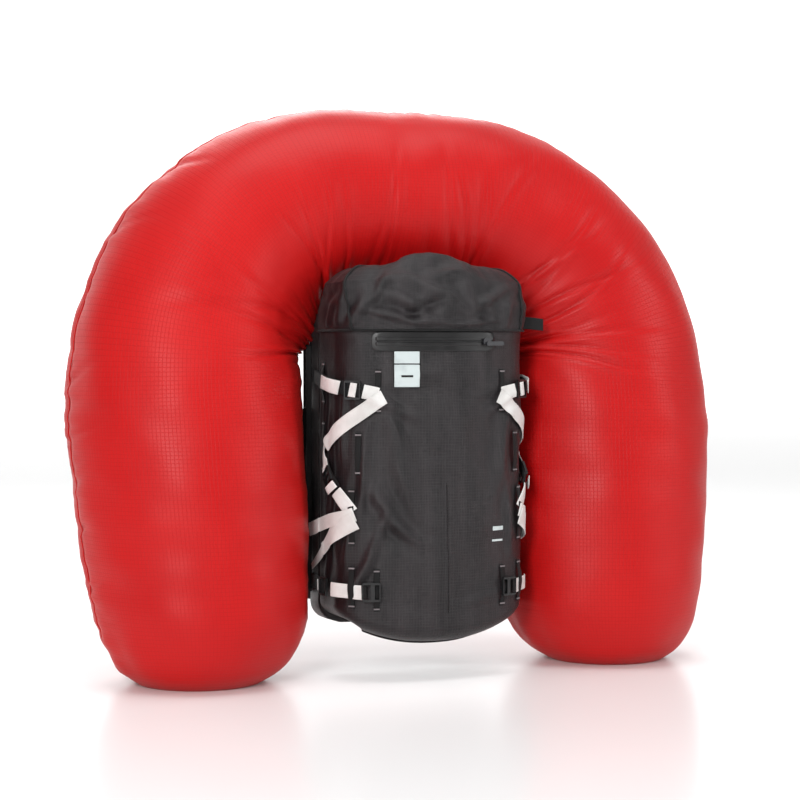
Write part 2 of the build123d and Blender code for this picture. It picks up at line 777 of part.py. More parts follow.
with BuildPart() as hip_webbing:
    with BuildLine():
        hip_line = FilletPolyline(
            (-belt_x - wing_step, foam_back + belt_length + GAP, hip_z),
            (-belt_x - wing_step, hip_y, hip_z),
            (-42, hip_y, hip_z),
            radius=26,
        )
    with BuildSketch(Plane(origin=hip_line @ 0, x_dir=(0, 0, 1), z_dir=hip_line % 0)):
        Rectangle(web + 5, web_thick)
    sweep(path=hip_line)
save_pair(hip_webbing.part, "hip_webbing")

with BuildPart() as hip_buckle_socket:
    with Locations((-24, hip_y, hip_z)):
        Box(35, 12, 40)
    fillet(hip_buckle_socket.edges().filter_by(Axis.Y), 6)
    with Locations((-18, hip_y, hip_z)):
        Box(30, 8, 30, mode=Mode.SUBTRACT)
save(hip_buckle_socket.part, "hip_buckle_socket")

with BuildPart() as hip_buckle_plug:
    with Locations((30, hip_y, hip_z)):
        Box(22, 12, 40)
    fillet(hip_buckle_plug.edges().filter_by(Axis.Y), 6)
    for z in (hip_z - 9, hip_z + 9):
        with Locations((11, hip_y, z)):
            Box(20, 5, 5)
save(hip_buckle_plug.part, "hip_buckle_plug")
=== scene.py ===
"""Looks of the ski backpack with its inflated avalanche airbag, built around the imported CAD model. Metres."""

import bmesh
import bpy
import math
import numpy as np
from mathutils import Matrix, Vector


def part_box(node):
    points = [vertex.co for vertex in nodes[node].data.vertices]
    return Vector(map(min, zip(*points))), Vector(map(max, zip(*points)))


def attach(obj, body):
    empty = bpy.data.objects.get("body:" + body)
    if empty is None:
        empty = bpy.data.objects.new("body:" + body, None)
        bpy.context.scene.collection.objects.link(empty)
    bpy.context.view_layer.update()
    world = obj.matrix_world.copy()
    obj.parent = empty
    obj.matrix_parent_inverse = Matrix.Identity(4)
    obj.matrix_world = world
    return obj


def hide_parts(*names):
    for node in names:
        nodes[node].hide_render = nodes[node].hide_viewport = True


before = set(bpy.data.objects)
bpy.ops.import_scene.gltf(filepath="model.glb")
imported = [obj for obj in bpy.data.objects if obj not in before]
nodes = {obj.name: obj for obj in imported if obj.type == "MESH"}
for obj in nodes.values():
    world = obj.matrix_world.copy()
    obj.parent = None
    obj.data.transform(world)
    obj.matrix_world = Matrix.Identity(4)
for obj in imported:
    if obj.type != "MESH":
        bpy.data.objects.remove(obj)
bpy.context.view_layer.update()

# ---------------------------------------------------------------- places taken from the frame
body_low, body_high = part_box("pack_shell")
bay_low, bay_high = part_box("airbag_bay")
bag_low, bag_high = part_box("airbag")
lid_low, lid_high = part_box("lid")
zip_low, zip_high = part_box("zip_tape")
foam_low, foam_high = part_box("back_foam")

HALF = body_high.x  # half the body's width
FRONT_Y = body_low.y
BACK_Y = bay_high.y
RIM_Z = lid_low.z  # where the lid's skirt ends
FRONT_R = 0.300  # radius of the front face's curve
CORNER_R = 0.045  # radius of the body's front corners
ARC_Y = FRONT_Y + FRONT_R
CORNER_X = HALF - CORNER_R
CORNER_Y = ARC_Y - math.sqrt((FRONT_R - CORNER_R) ** 2 - CORNER_X**2)
CORNER_TURN = math.atan2(ARC_Y - CORNER_Y, CORNER_X)  # where the corner meets the front's arc
SIDE_LENGTH = BACK_Y - CORNER_Y
CORNER_LENGTH = CORNER_R * CORNER_TURN
FRONT_LENGTH = FRONT_R * (math.pi / 2 - CORNER_TURN)
HALF_GIRTH = SIDE_LENGTH + CORNER_LENGTH + FRONT_LENGTH
CLOTH_THICK = 0.0016


# ---------------------------------------------------------------- mesh helpers
def new_object(name, verts, faces, smooth=True):
    mesh = bpy.data.meshes.new(name)
    mesh.from_pydata([tuple(map(float, v)) for v in verts], [], faces)
    mesh.validate()
    if smooth:
        mesh.polygons.foreach_set("use_smooth", [True] * len(mesh.polygons))
    piece = bpy.data.objects.new(name, mesh)
    bpy.context.scene.collection.objects.link(piece)
    return piece


def grid_faces(rows, cols, wrap=False, start=0, flip=False):
    faces = []
    last = cols if wrap else cols - 1
    for r in range(rows - 1):
        for c in range(last):
            a, b = start + r * cols + c, start + r * cols + (c + 1) % cols
            quad = (a, b, b + cols, a + cols)
            faces.append(quad[::-1] if flip else quad)
    return faces


def capped_faces(rows, cols):
    """The faces of a closed tube of rows rings, with a flat cap at either end."""
    faces = grid_faces(rows, cols, wrap=True)
    faces.append(tuple(range(cols))[::-1])
    faces.append(tuple((rows - 1) * cols + c for c in range(cols)))
    return faces


def run_along(points):
    """The length of a line of points from its start to each of them."""
    return np.concatenate([[0], np.cumsum(np.linalg.norm(np.diff(points, axis=0), axis=1))])


def thicken(piece, thickness, offset=-1):
    solid = piece.modifiers.new("thickness", "SOLIDIFY")
    solid.thickness = thickness
    solid.offset = offset


def cloth_coords(piece, coords):
    """Stores the flat cloth's own coordinates on each vertex, for the weave."""
    layer = piece.data.attributes.new("cloth", "FLOAT_VECTOR", "POINT")
    layer.data.foreach_set("vector", np.asarray(coords, np.float32).reshape(-1))


def spline(points, count):
    """A smooth curve through points: a Catmull-Rom spline, resampled evenly by length."""
    p = np.asarray(points, float)
    ends = np.vstack([2 * p[0] - p[1], p, 2 * p[-1] - p[-2]])
    out = []
    for i in range(len(p) - 1):
        a, b, c, d = ends[i : i + 4]
        for t in np.linspace(0, 1, 24, endpoint=False):
            bend = (2 * a - 5 * b + 4 * c - d) * t**2
            out.append(0.5 * (2 * b + (c - a) * t + bend + (3 * b - a - 3 * c + d) * t**3))
    out.append(p[-1])
    out = np.array(out)
    run = run_along(out[:, :3])
    want = np.linspace(0, run[-1], count)
    return np.stack([np.interp(want, run, out[:, k]) for k in range(out.shape[1])], 1)


def smooth_noise(coords, scale, octaves=2, seed=0.0):
    """A slow, seeded wave field, about -1 to 1, from a few sines in random directions."""
    local = np.random.default_rng(int(seed * 1000) + 11)
    field = np.zeros(len(coords))
    waves = 7
    for o in range(octaves):
        for _ in range(waves):
            direction = local.normal(size=coords.shape[1])
            direction /= np.linalg.norm(direction)
            wave = 2 * np.pi * (2**o) * local.uniform(0.6, 1.4) / scale
            field += np.sin(coords @ direction * wave + local.uniform(0, 6.28)) * 0.3 / (2**o)
    return field


def fold_field(coords, folds):
    """Height of a set of creases. Each fold is (x, y, direction in degrees, length, width, height)."""
    field = np.zeros(len(coords))
    for x, y, turn, length, width, height in folds:
        c, s = math.cos(math.radians(turn)), math.sin(math.radians(turn))
        along = (coords[:, 0] - x) * c + (coords[:, 1] - y) * s
        across = -(coords[:, 0] - x) * s + (coords[:, 1] - y) * c
        end = np.clip(1 - (along / (length / 2)) ** 2, 0, 1)
        ridge = np.exp(-((across / width) ** 2))
        sides = np.exp(-(((np.abs(across) - 1.9 * width) / (1.1 * width)) ** 2))
        field += height * end * (ridge - 0.45 * sides)
    return field


def normals_of(points, rows, cols, wrap=False):
    grid = points.reshape(rows, cols, 3)
    if wrap:
        du = np.roll(grid, -1, 1) - np.roll(grid, 1, 1)
    else:
        du = np.gradient(grid, axis=1)
    dv = np.gradient(grid, axis=0)
    n = np.cross(du, dv)
    return (n / (np.linalg.norm(n, axis=2, keepdims=True) + 1e-12)).reshape(-1, 3)


def finish_piece(piece, body, material, replaces=()):
    piece.data.materials.clear()
    piece.data.materials.append(material)
    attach(piece, body)
    if replaces:
        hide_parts(*replaces)
    return piece


# ---------------------------------------------------------------- materials
class Shader:
    """A short way to write a node tree on one Principled shader."""

    def __init__(self, name, **sockets):
        self.material = bpy.data.materials.new(name)
        self.material.use_nodes = True
        self.tree = self.material.node_tree
        self.nodes = self.tree.nodes
        self.base = self.nodes["Principled BSDF"]
        for key, value in sockets.items():
            self.base.inputs[key.replace("_", " ")].default_value = value

    def add(self, kind, inputs=(), **settings):
        node = self.nodes.new("ShaderNode" + kind)
        for key, value in settings.items():
            setattr(node, key, value)
        for key, value in dict(inputs).items():
            if isinstance(value, bpy.types.NodeSocket):
                self.tree.links.new(value, node.inputs[key])
            else:
                node.inputs[key].default_value = value
        return node

    def math(self, operation, a, b=0.0, clamp=False):
        return self.add("Math", {0: a, 1: b}, operation=operation, use_clamp=clamp).outputs[0]

    def place(self, attribute=None):
        if attribute:
            return self.add("Attribute", attribute_name=attribute).outputs["Vector"]
        return self.add("TexCoord").outputs["Object"]

    def noise(self, vector, scale, detail=3.0, rough=0.55):
        node = self.add("TexNoise", {"Vector": vector, "Scale": scale, "Detail": detail, "Roughness": rough})
        return node.outputs[0]

    def ramp(self, value, low, high, out_low=0.0, out_high=1.0):
        node = self.add("MapRange", {"Value": value, "From Min": low, "From Max": high, "To Min": out_low,
                                     "To Max": out_high})
        return node.outputs[0]

    def mix(self, factor, a, b):
        node = self.add("Mix", {0: factor, 6: a, 7: b}, data_type="RGBA")
        return node.outputs[2]

    def link(self, value, socket):
        self.tree.links.new(value, self.base.inputs[socket])

    def bump(self, height, distance, strength=1.0, below=None):
        inputs = {"Height": height, "Distance": distance, "Strength": strength}
        if below is not None:
            inputs["Normal"] = below
        return self.add("Bump", inputs).outputs[0]

    def lines(self, value, spacing, sharp=0.86):
        """Thin raised lines every spacing along a coordinate."""
        wave = self.math("SINE", self.math("MULTIPLY", value, 2 * math.pi / spacing))
        return self.ramp(wave, sharp, 1.0)

    def weave(self, vector, pitch):
        """A plain weave: two crossed sets of rounded threads."""
        part = self.add("SeparateXYZ", {0: vector})
        u = self.math("SINE", self.math("MULTIPLY", part.outputs[0], 2 * math.pi / pitch))
        v = self.math("SINE", self.math("MULTIPLY", part.outputs[1], 2 * math.pi / pitch))
        return self.math("MULTIPLY", u, v)


def colour(r, g, b):
    """An sRGB colour, 0 to 255, as linear RGBA."""
    def line(c):
        c /= 255
        return c / 12.92 if c <= 0.04045 else ((c + 0.055) / 1.055) ** 2.4
    return (line(r), line(g), line(b), 1.0)


def airbag_nylon():
    m = Shader("airbag_nylon", Roughness=0.46, Sheen_Weight=0.10, Sheen_Roughness=0.35,
               Specular_IOR_Level=0.24)
    m.base.inputs["Sheen Tint"].default_value = colour(255, 120, 100)
    cloth = m.place("cloth")
    part = m.add("SeparateXYZ", {0: cloth})
    mottle = m.noise(m.place(), 5.0, 3)
    fine = m.noise(cloth, 180, 2)
    tone = m.mix(m.ramp(mottle, 0.3, 0.7), colour(178, 8, 11), colour(190, 15, 15))
    grid = m.math("MAXIMUM", m.lines(part.outputs[0], 0.0055), m.lines(part.outputs[1], 0.0055))
    m.link(m.mix(m.math("MULTIPLY", grid, 0.34), tone, colour(140, 6, 9)), "Base Color")
    m.link(m.ramp(m.math("ADD", mottle, m.math("MULTIPLY", grid, 0.25)), 0.3, 0.9, 0.38, 0.54), "Roughness")
    crinkle = m.bump(m.noise(cloth, 42, 4, 0.62), 0.0011, 0.35)
    threads = m.bump(grid, 0.00025, 0.55, crinkle)
    m.link(m.bump(fine, 0.0001, 0.3, threads), "Normal")
    return m.material


# pack fabric: light is the bright end of the base colour, reached by the painted sheen streaks and by the thread
# slubs; side is the side panels' own maroon
def pack_fabric(name="pack_fabric", dark=(12, 10, 12), light=(50, 45, 47), rough=(0.30, 0.50), sheen=0.06,
                side=None):
    m = Shader(name, Sheen_Weight=sheen, Sheen_Roughness=0.4, Specular_IOR_Level=0.34)
    cloth = m.place("cloth")
    part = m.add("SeparateXYZ", {0: cloth})
    mottle = m.noise(m.place(), 9.0, 4)
    slub = m.noise(m.add("Mapping", {"Vector": cloth, "Scale": (50.0, 700.0, 1.0)}).outputs[0], 1.0, 2)
    slub2 = m.noise(m.add("Mapping", {"Vector": cloth, "Scale": (700.0, 50.0, 1.0)}).outputs[0], 1.0, 2)
    threads = m.math("MAXIMUM", slub, slub2)
    # painted sheen: noise streaks stretched up the cloth (fast round the girth, slow up the height) stand in for a
    # vertical sheen; they lighten the base colour and also vary the roughness
    painted_sheen_streak = m.noise(m.add("Mapping", {"Vector": cloth, "Scale": (38.0, 3.0, 1.0)}).outputs[0], 1.0, 3)
    grid = m.math("MAXIMUM", m.lines(part.outputs[0], 0.0042, 0.9), m.lines(part.outputs[1], 0.0042, 0.9))
    # the base colour runs from dark to light by the painted sheen streaks together with the real thread slubs, so
    # its lighter colour is partly painted highlight
    value = m.math("ADD", m.math("MULTIPLY", painted_sheen_streak, 0.55), m.math("MULTIPLY", threads, 0.6))
    tone = m.mix(m.ramp(value, 0.48, 0.80), colour(*dark), colour(*light))
    if side:
        reach = m.math("ABSOLUTE", part.outputs[0])
        tone = m.mix(m.ramp(reach, 0.112, 0.136), tone, colour(*side))
    grid_tone = colour(*(min(255, c + 30) for c in light))
    m.link(m.mix(m.math("MULTIPLY", grid, 0.20), tone, grid_tone), "Base Color")
    polish = m.math("ADD", mottle, m.math("MULTIPLY", painted_sheen_streak, 0.5))
    m.link(m.ramp(polish, 0.5, 1.0, rough[0], rough[1]), "Roughness")
    crease = m.bump(m.noise(cloth, 30, 5, 0.62), 0.0030, 0.42)
    relief = m.math("ADD", m.weave(cloth, 0.0011), m.math("MULTIPLY", grid, 1.4))
    m.link(m.bump(relief, 0.00018, 0.5, crease), "Normal")
    return m.material


def webbing(name, dark, light, rough=0.62):
    m = Shader(name, Sheen_Weight=0.08, Sheen_Roughness=0.4, Specular_IOR_Level=0.28)
    cloth = m.place("cloth")
    part = m.add("SeparateXYZ", {0: cloth})
    ribs = m.math("SINE", m.math("MULTIPLY", part.outputs[0], 2 * math.pi / 0.0016))
    warp = m.math("SINE", m.math("MULTIPLY", part.outputs[1], 2 * math.pi / 0.0021))
    weave = m.math("MULTIPLY", ribs, warp)
    soil = m.noise(m.place(), 30, 4)
    value = m.math("ADD", m.math("MULTIPLY", soil, 0.7), m.math("MULTIPLY", weave, 0.12))
    m.link(m.mix(m.ramp(value, 0.2, 0.55), colour(*dark), colour(*light)), "Base Color")
    m.link(m.ramp(soil, 0.3, 0.7, rough - 0.08, rough + 0.1), "Roughness")
    m.link(m.bump(weave, 0.00035, 0.6), "Normal")
    return m.material


def plastic(name, tone, rough=0.38, grain=260.0, metallic=0.0, wear=(90, 90, 92), coat=0.0):
    m = Shader(name, Metallic=metallic, Specular_IOR_Level=0.5, Coat_Weight=coat)
    place = m.place()
    mottle = m.noise(place, 34, 4)
    scuff = m.ramp(m.noise(m.add("Mapping", {"Vector": place, "Scale": (1.0, 1.0, 9.0)}).outputs[0], 90, 5, 0.7),
                   0.62, 0.8)
    m.link(m.mix(m.math("MULTIPLY", scuff, 0.25), colour(*tone), colour(*wear)), "Base Color")
    m.link(m.ramp(mottle, 0.3, 0.7, rough - 0.07, rough + 0.12), "Roughness")
    m.link(m.bump(m.noise(place, grain * 6, 2), 0.0001, 0.35), "Normal")
    return m.material


def foam_mesh(name, dark, light, hole=0.0042):
    """Spacer mesh over foam: a hexagonal-looking net of small holes."""
    m = Shader(name, Sheen_Weight=0.5, Sheen_Roughness=0.6, Roughness=0.85, Specular_IOR_Level=0.25)
    place = m.place()
    cells = m.add("TexVoronoi", {"Vector": place, "Scale": 1.0 / hole, "Randomness": 0.25})
    holes = m.ramp(cells.outputs["Distance"], 0.18, 0.42)
    mottle = m.noise(place, 18, 3)
    tone = m.mix(m.ramp(mottle, 0.3, 0.7), colour(*dark), colour(*light))
    m.link(m.mix(holes, colour(10, 10, 11), tone), "Base Color")
    m.link(m.ramp(mottle, 0.3, 0.7, 0.78, 0.92), "Roughness")
    m.link(m.bump(holes, 0.0006, 0.6), "Normal")
    return m.material


def reflective():
    m = Shader("reflective", Roughness=0.4, Specular_IOR_Level=0.5, Coat_Weight=0.15)
    place = m.place()
    beads = m.add("TexVoronoi", {"Vector": place, "Scale": 1500.0}).outputs["Distance"]
    scuff = m.noise(place, 60, 5)
    m.link(m.mix(m.ramp(scuff, 0.45, 0.75), colour(196, 206, 206), colour(176, 186, 187)), "Base Color")
    m.link(m.ramp(scuff, 0.3, 0.7, 0.32, 0.5), "Roughness")
    m.link(m.bump(beads, 0.00008, 0.4), "Normal")
    return m.material


M_BAG = airbag_nylon()
# the second colour of each pack fabric is the bright end of its painted sheen streaks as well as of its thread
# slubs
M_PACK = pack_fabric(side=(14, 4, 7))
M_SIDE = pack_fabric("pack_side_fabric", (10, 8, 9), (20, 15, 17), (0.30, 0.46), 0.05)
M_TRIM = pack_fabric("pack_trim", (8, 7, 8), (16, 15, 16), (0.3, 0.5), 0.05)
M_BLACK_WEB = webbing("black_webbing", (6, 6, 7), (17, 16, 17))
M_PALE_WEB = webbing("pale_webbing", (206, 203, 200), (236, 235, 233))
M_THREAD = webbing("pale_thread", (104, 98, 100), (146, 138, 140))
M_PIPING = webbing("piping", (6, 6, 7), (20, 20, 21), 0.5)
M_ZIP = plastic("zip_laminate", (15, 14, 15), 0.40, 120)
M_BLACK = plastic("black_plastic", (14, 14, 15), 0.34)
M_GREY = plastic("grey_plastic", (70, 71, 74), 0.45)
M_SHEET = plastic("sheet_plastic", (66, 67, 70), 0.55)
M_HANDLE = plastic("handle_plastic", (196, 30, 26), 0.4)
M_STEEL = plastic("pin_steel", (150, 150, 152), 0.3, metallic=1.0)
M_ALU = plastic("stay_metal", (190, 190, 193), 0.36, metallic=1.0)
M_VALVE = plastic("valve_metal", (108, 108, 112), 0.4, metallic=1.0)
M_CARTRIDGE = plastic("cartridge_steel", (172, 174, 178), 0.32, metallic=1.0)
M_RUBBER = plastic("valve_rubber", (16, 16, 17), 0.7)
M_CABLE = plastic("cable_sheath", (14, 14, 15), 0.5)
M_REFLECT = reflective()
# the harness pad's lighter colour is likewise partly painted sheen streaks
M_PAD = pack_fabric("harness_pad", (16, 16, 18), (32, 32, 35), (0.55, 0.75), 0.1)
M_MESH = foam_mesh("back_mesh", (30, 30, 32), (46, 46, 49))

CAD_LOOKS = {
    "ladder_locks": M_BLACK, "base_hook_left": M_BLACK, "base_hook_right": M_BLACK, "inflator": M_GREY,
    "inflator_flap": M_RUBBER, "gas_cartridge": M_CARTRIDGE, "release_valve": M_VALVE, "firing_lever": M_VALVE,
    "lever_pin": M_STEEL, "striker": M_STEEL, "gas_hose": M_RUBBER, "trigger_cable": M_CABLE,
    "frame_sheet": M_SHEET, "frame_stays": M_ALU, "chest_slider_left": M_BLACK, "chest_slider_right": M_BLACK,
    "chest_buckle_socket": M_BLACK, "chest_buckle_plug": M_BLACK, "trigger_socket": M_BLACK,
    "trigger_handle": M_HANDLE, "hip_buckle_socket": M_BLACK, "hip_buckle_plug": M_BLACK,
}
for node, look in CAD_LOOKS.items():
    for index in range(len(nodes[node].data.materials)):
        nodes[node].data.materials[index] = look


# ---------------------------------------------------------------- airbag
BAG_BEND = 0.250  # radius of the arch's shoulders, along the tube's axis
BAG_LEG_X = 0.333  # the axis of either leg, from the middle
BAG_TOP_R = 0.137  # the tube's radius at the top of the arch
BAG_SPRING_R = 0.168  # and where the arch springs from the legs
BAG_SLOPE = 0.13  # how far the tube leans back per height
BAG_FOOT_Y = -0.044
BAG_FOLDS, BAG_PUCKERS = 84, 30
BAG_TOP_Z = bag_high.z - BAG_TOP_R
# height, distance of the tube's axis from the middle, tube radius
BAG_LEG = [(0.0, 0.325, 0.088), (0.012, 0.3235, 0.108), (0.030, 0.3215, 0.126), (0.070, 0.319, 0.148),
           (0.145, 0.322, 0.160), (0.245, 0.328, 0.1675), (0.348, 0.332, 0.1705)]


def natural_spline(x, y, want):
    """A natural cubic spline through (x, y), read at want."""
    n = len(x)
    h = np.diff(x)
    a = np.eye(n)
    r = np.zeros(n)
    for i in range(1, n - 1):
        a[i, i - 1 : i + 2] = h[i - 1], 2 * (h[i - 1] + h[i]), h[i]
        r[i] = 6 * ((y[i + 1] - y[i]) / h[i] - (y[i] - y[i - 1]) / h[i - 1])
    m = np.linalg.solve(a, r)
    k = np.clip(np.searchsorted(x, want) - 1, 0, n - 2)
    t, u = want - x[k], x[k + 1] - want
    return ((m[k] * u**3 + m[k + 1] * t**3) / (6 * h[k]) + (y[k] / h[k] - m[k] * h[k] / 6) * u
            + (y[k + 1] / h[k] - m[k + 1] * h[k] / 6) * t)


def make_airbag():
    rows = [(-x, z, 0.0, r) for z, x, r in BAG_LEG]
    for angle in (0.0, 15.0, 30.0, 45.0, 60.0, 75.0, 90.0):
        c, s = math.cos(math.radians(angle)), math.sin(math.radians(angle))
        radius = BAG_TOP_R + (BAG_SPRING_R - BAG_TOP_R) * (1 - s) ** 1.2
        rows.append((BAG_BEND - BAG_LEG_X - BAG_BEND * c, BAG_TOP_Z - BAG_BEND + BAG_BEND * s, angle, radius))
    rows += [(0.0, BAG_TOP_Z, 90.0, BAG_TOP_R)]
    rows += [(-x, z, 180 - a, r) for x, z, a, r in reversed(rows[:-1])]
    rows = np.array(rows)
    run = np.concatenate([[0], np.cumsum(np.hypot(np.diff(rows[:, 0]), np.diff(rows[:, 1])))])
    count, ring = 420, 150
    s = np.linspace(0, run[-1], count)
    x, z, turn, r = (natural_spline(run, rows[:, k], s) for k in range(4))
    turn = np.radians(turn)
    phi = np.linspace(0, 2 * np.pi, ring, endpoint=False)
    S, F = np.meshgrid(s, phi, indexing="ij")
    R = np.repeat(r[:, None], ring, 1)
    total = run[-1]
    edge = np.minimum(np.minimum(F, 2 * np.pi - F), 9)  # angle from the outer seam
    inner = np.abs(F - np.pi)  # angle from the inner seam
    arch = np.exp(-(((S - total / 2) / 0.42) ** 4))
    flat = np.stack([S.ravel(), (F * R).ravel()], 1)
    height = 0.0016 * smooth_noise(flat, 0.16, 2, 0.3).reshape(S.shape)
    # puckers where the two panels are sewn together
    gather = smooth_noise(np.stack([S.ravel(), 0 * S.ravel()], 1), 0.030, 2, 0.7).reshape(S.shape)
    height += 0.0016 * gather * np.exp(-((edge / 0.30) ** 2))
    height += 0.0035 * gather * np.exp(-((inner / 0.55) ** 2)) * (0.25 + arch)
    height -= 0.0022 * np.exp(-((edge / 0.05) ** 2))
    # folds that run from the inside of the arch over the front and the back
    field = np.zeros(S.shape)
    local = np.random.default_rng(21)
    for k in range(BAG_FOLDS):
        centre = total / 2 + local.uniform(-0.46, 0.46)
        width = local.uniform(0.003, 0.008)
        reach = local.uniform(0.5, 1.7)
        skew = local.uniform(-0.035, 0.035) + (centre - total / 2) * 0.05
        high = local.uniform(0.0016, 0.0050)
        side = local.choice([-1.0, 1.0])
        away = (F - np.pi) * side
        at = S - centre - skew * away - 0.012 * np.sin(away * 2.2 + k)
        window = np.clip(1 - np.abs(away - reach * 0.55) / reach, 0, 1) ** 0.8
        bank = np.exp(-(((at - 2.1 * width) / (1.5 * width)) ** 2))
        field += -high * window * (np.exp(-((at / width) ** 2)) - 0.55 * bank)
    height += field
    # short puckers at the outer seam and creases at the feet
    for _ in range(BAG_PUCKERS):
        centre = local.uniform(0.05, total - 0.05)
        width = local.uniform(0.0035, 0.007)
        reach = local.uniform(0.22, 0.55)
        high = local.uniform(0.0012, 0.0034)
        side = local.choice([-1.0, 1.0])
        away = np.where(F > np.pi, F - 2 * np.pi, F) * side
        at = S - centre - 0.05 * away
        height -= high * np.clip(1 - np.abs(away - reach * 0.3) / reach, 0, 1) * np.exp(-((at / width) ** 2))
    foot = np.minimum(S, total - S)
    height += 0.0022 * np.sin(F * 9 + 2 * np.sin(F * 2)) * np.exp(-((foot - 0.05) / 0.045) ** 2) * 0.8
    calm = np.clip(foot / 0.03, 0, 1)
    R = R + height * calm
    heading = np.degrees(turn)[:, None]
    shoulder = np.exp(-(((heading - 42) / 26) ** 2)) + np.exp(-(((heading - 138) / 26) ** 2))
    in_arch = np.clip((heading - 1) / 12, 0, 1) * np.clip((179 - heading) / 12, 0, 1)
    R = R + 0.050 * shoulder * in_arch * np.exp(-((inner / 0.50) ** 2))
    nx, nz = -np.cos(turn), np.sin(turn)
    out, front = np.cos(F), np.sin(F)
    X = x[:, None] + R * out * nx[:, None]
    Z = z[:, None] + R * out * nz[:, None]
    Y = (BAG_FOOT_Y + BAG_SLOPE * z)[:, None] - R * front
    points = np.stack([X, Y, Z], 2)
    caps = []
    for row in (points[0], points[-1]):
        centre = row.mean(0)
        caps.append([centre + (row - centre) * share for share in (0.92, 0.75, 0.5, 0.25)] + [centre])
    verts = list(points.reshape(-1, 3))
    faces = grid_faces(count, ring, wrap=True, flip=True)
    coords = np.stack([S, F * 0.165, 0 * S], 2).reshape(-1, 3).tolist()
    for end, (base, flip) in enumerate(((0, False), ((count - 1) * ring, True))):
        ring_start = base
        for level in caps[end][:-1]:
            start = len(verts)
            lift = 0.0004 if level is caps[end][0] else 0.0012
            verts.extend(level + np.array([0, 0, lift]))
            coords.extend([[v[0], v[1], 0.0] for v in level])
            for c in range(ring):
                a, b = ring_start + c, ring_start + (c + 1) % ring
                e, d = start + c, start + (c + 1) % ring
                faces.append((a, b, d, e) if not flip else (e, d, b, a))
            ring_start = start
        tip = len(verts)
        verts.append(caps[end][-1] + np.array([0, 0, 0.0012]))
        coords.append([verts[-1][0], verts[-1][1], 0.0])
        for c in range(ring):
            a, b = ring_start + c, ring_start + (c + 1) % ring
            faces.append((a, b, tip) if not flip else (b, a, tip))
    piece = new_object("airbag_cloth", verts, faces)
    cloth_coords(piece, coords)
    finish_piece(piece, "root", M_BAG, ["airbag"])
    # the sewn edge between the front and the back panel
    seam = points[4:-4:2, 0, :]
    outward = np.stack([nx, 0 * nx, nz], 1)[4:-4:2]
    flat_way = np.cross(np.gradient(seam, axis=0), outward)
    tape = ribbon_mesh("airbag_seam", seam + outward * 0.0012, flat_way, 0.0016, 0.0026)
    finish_piece(tape, "root", M_BAG)


def ribbon_mesh(name, centre, normal, width, thick):
    """A closed strip along centre, flat across normal. width and thick may be arrays."""
    centre = np.asarray(centre, float)
    normal = np.asarray(normal, float)
    normal = normal / np.linalg.norm(normal, axis=1, keepdims=True)
    along = np.gradient(centre, axis=0)
    along /= np.linalg.norm(along, axis=1, keepdims=True)
    across = np.cross(along, normal)
    across /= np.linalg.norm(across, axis=1, keepdims=True)
    normal = np.cross(across, along)
    w = np.broadcast_to(np.asarray(width, float) / 2, len(centre))[:, None]
    t = np.broadcast_to(np.asarray(thick, float) / 2, len(centre))[:, None]
    half_shape = [(-1, -0.45), (-1, 0.45), (-0.93, 1), (-0.5, 1), (0, 1), (0.5, 1), (0.93, 1)]
    shape = half_shape + [(-a, -b) for a, b in half_shape]
    ring = np.stack([centre + across * a * w + normal * b * t for a, b in shape], 1)
    rows, cols = ring.shape[:2]
    piece = new_object(name, ring.reshape(-1, 3), capped_faces(rows, cols))
    run = run_along(centre)
    coords = np.zeros((rows, cols, 3))
    coords[:, :, 0] = run[:, None]
    coords[:, :, 1] = np.array([a for a, _ in shape])[None, :] * w
    cloth_coords(piece, coords)
    return piece


make_airbag()


# ---------------------------------------------------------------- body of the pack
def girth_spot(q, grow=0.0):
    """A place on the body's plan at a length q round it from the back of the left side; q < 0 mirrors."""
    side = -1.0 if q >= 0 else 1.0
    q = abs(q)
    if q <= SIDE_LENGTH:
        return np.array([side * (HALF + grow), BACK_Y - q]), np.array([side, 0.0])
    if q <= SIDE_LENGTH + CORNER_LENGTH:
        angle = (q - SIDE_LENGTH) / CORNER_R
        n = np.array([side * math.cos(angle), -math.sin(angle)])
        return np.array([side * CORNER_X, CORNER_Y]) + n * (CORNER_R + grow), n
    angle = CORNER_TURN + (q - SIDE_LENGTH - CORNER_LENGTH) / FRONT_R
    n = np.array([side * math.cos(angle), -math.sin(angle)])
    return np.array([0.0, ARC_Y]) + n * (FRONT_R + grow), n


def round_spot(t, grow=0.0):
    """A place on the plan for t from 0 (left rear) over 1 (front middle) to 2 (right rear)."""
    q = t * HALF_GIRTH if t <= 1 else -(2 - t) * HALF_GIRTH
    return girth_spot(q if t != 2 else -1e-9, grow)


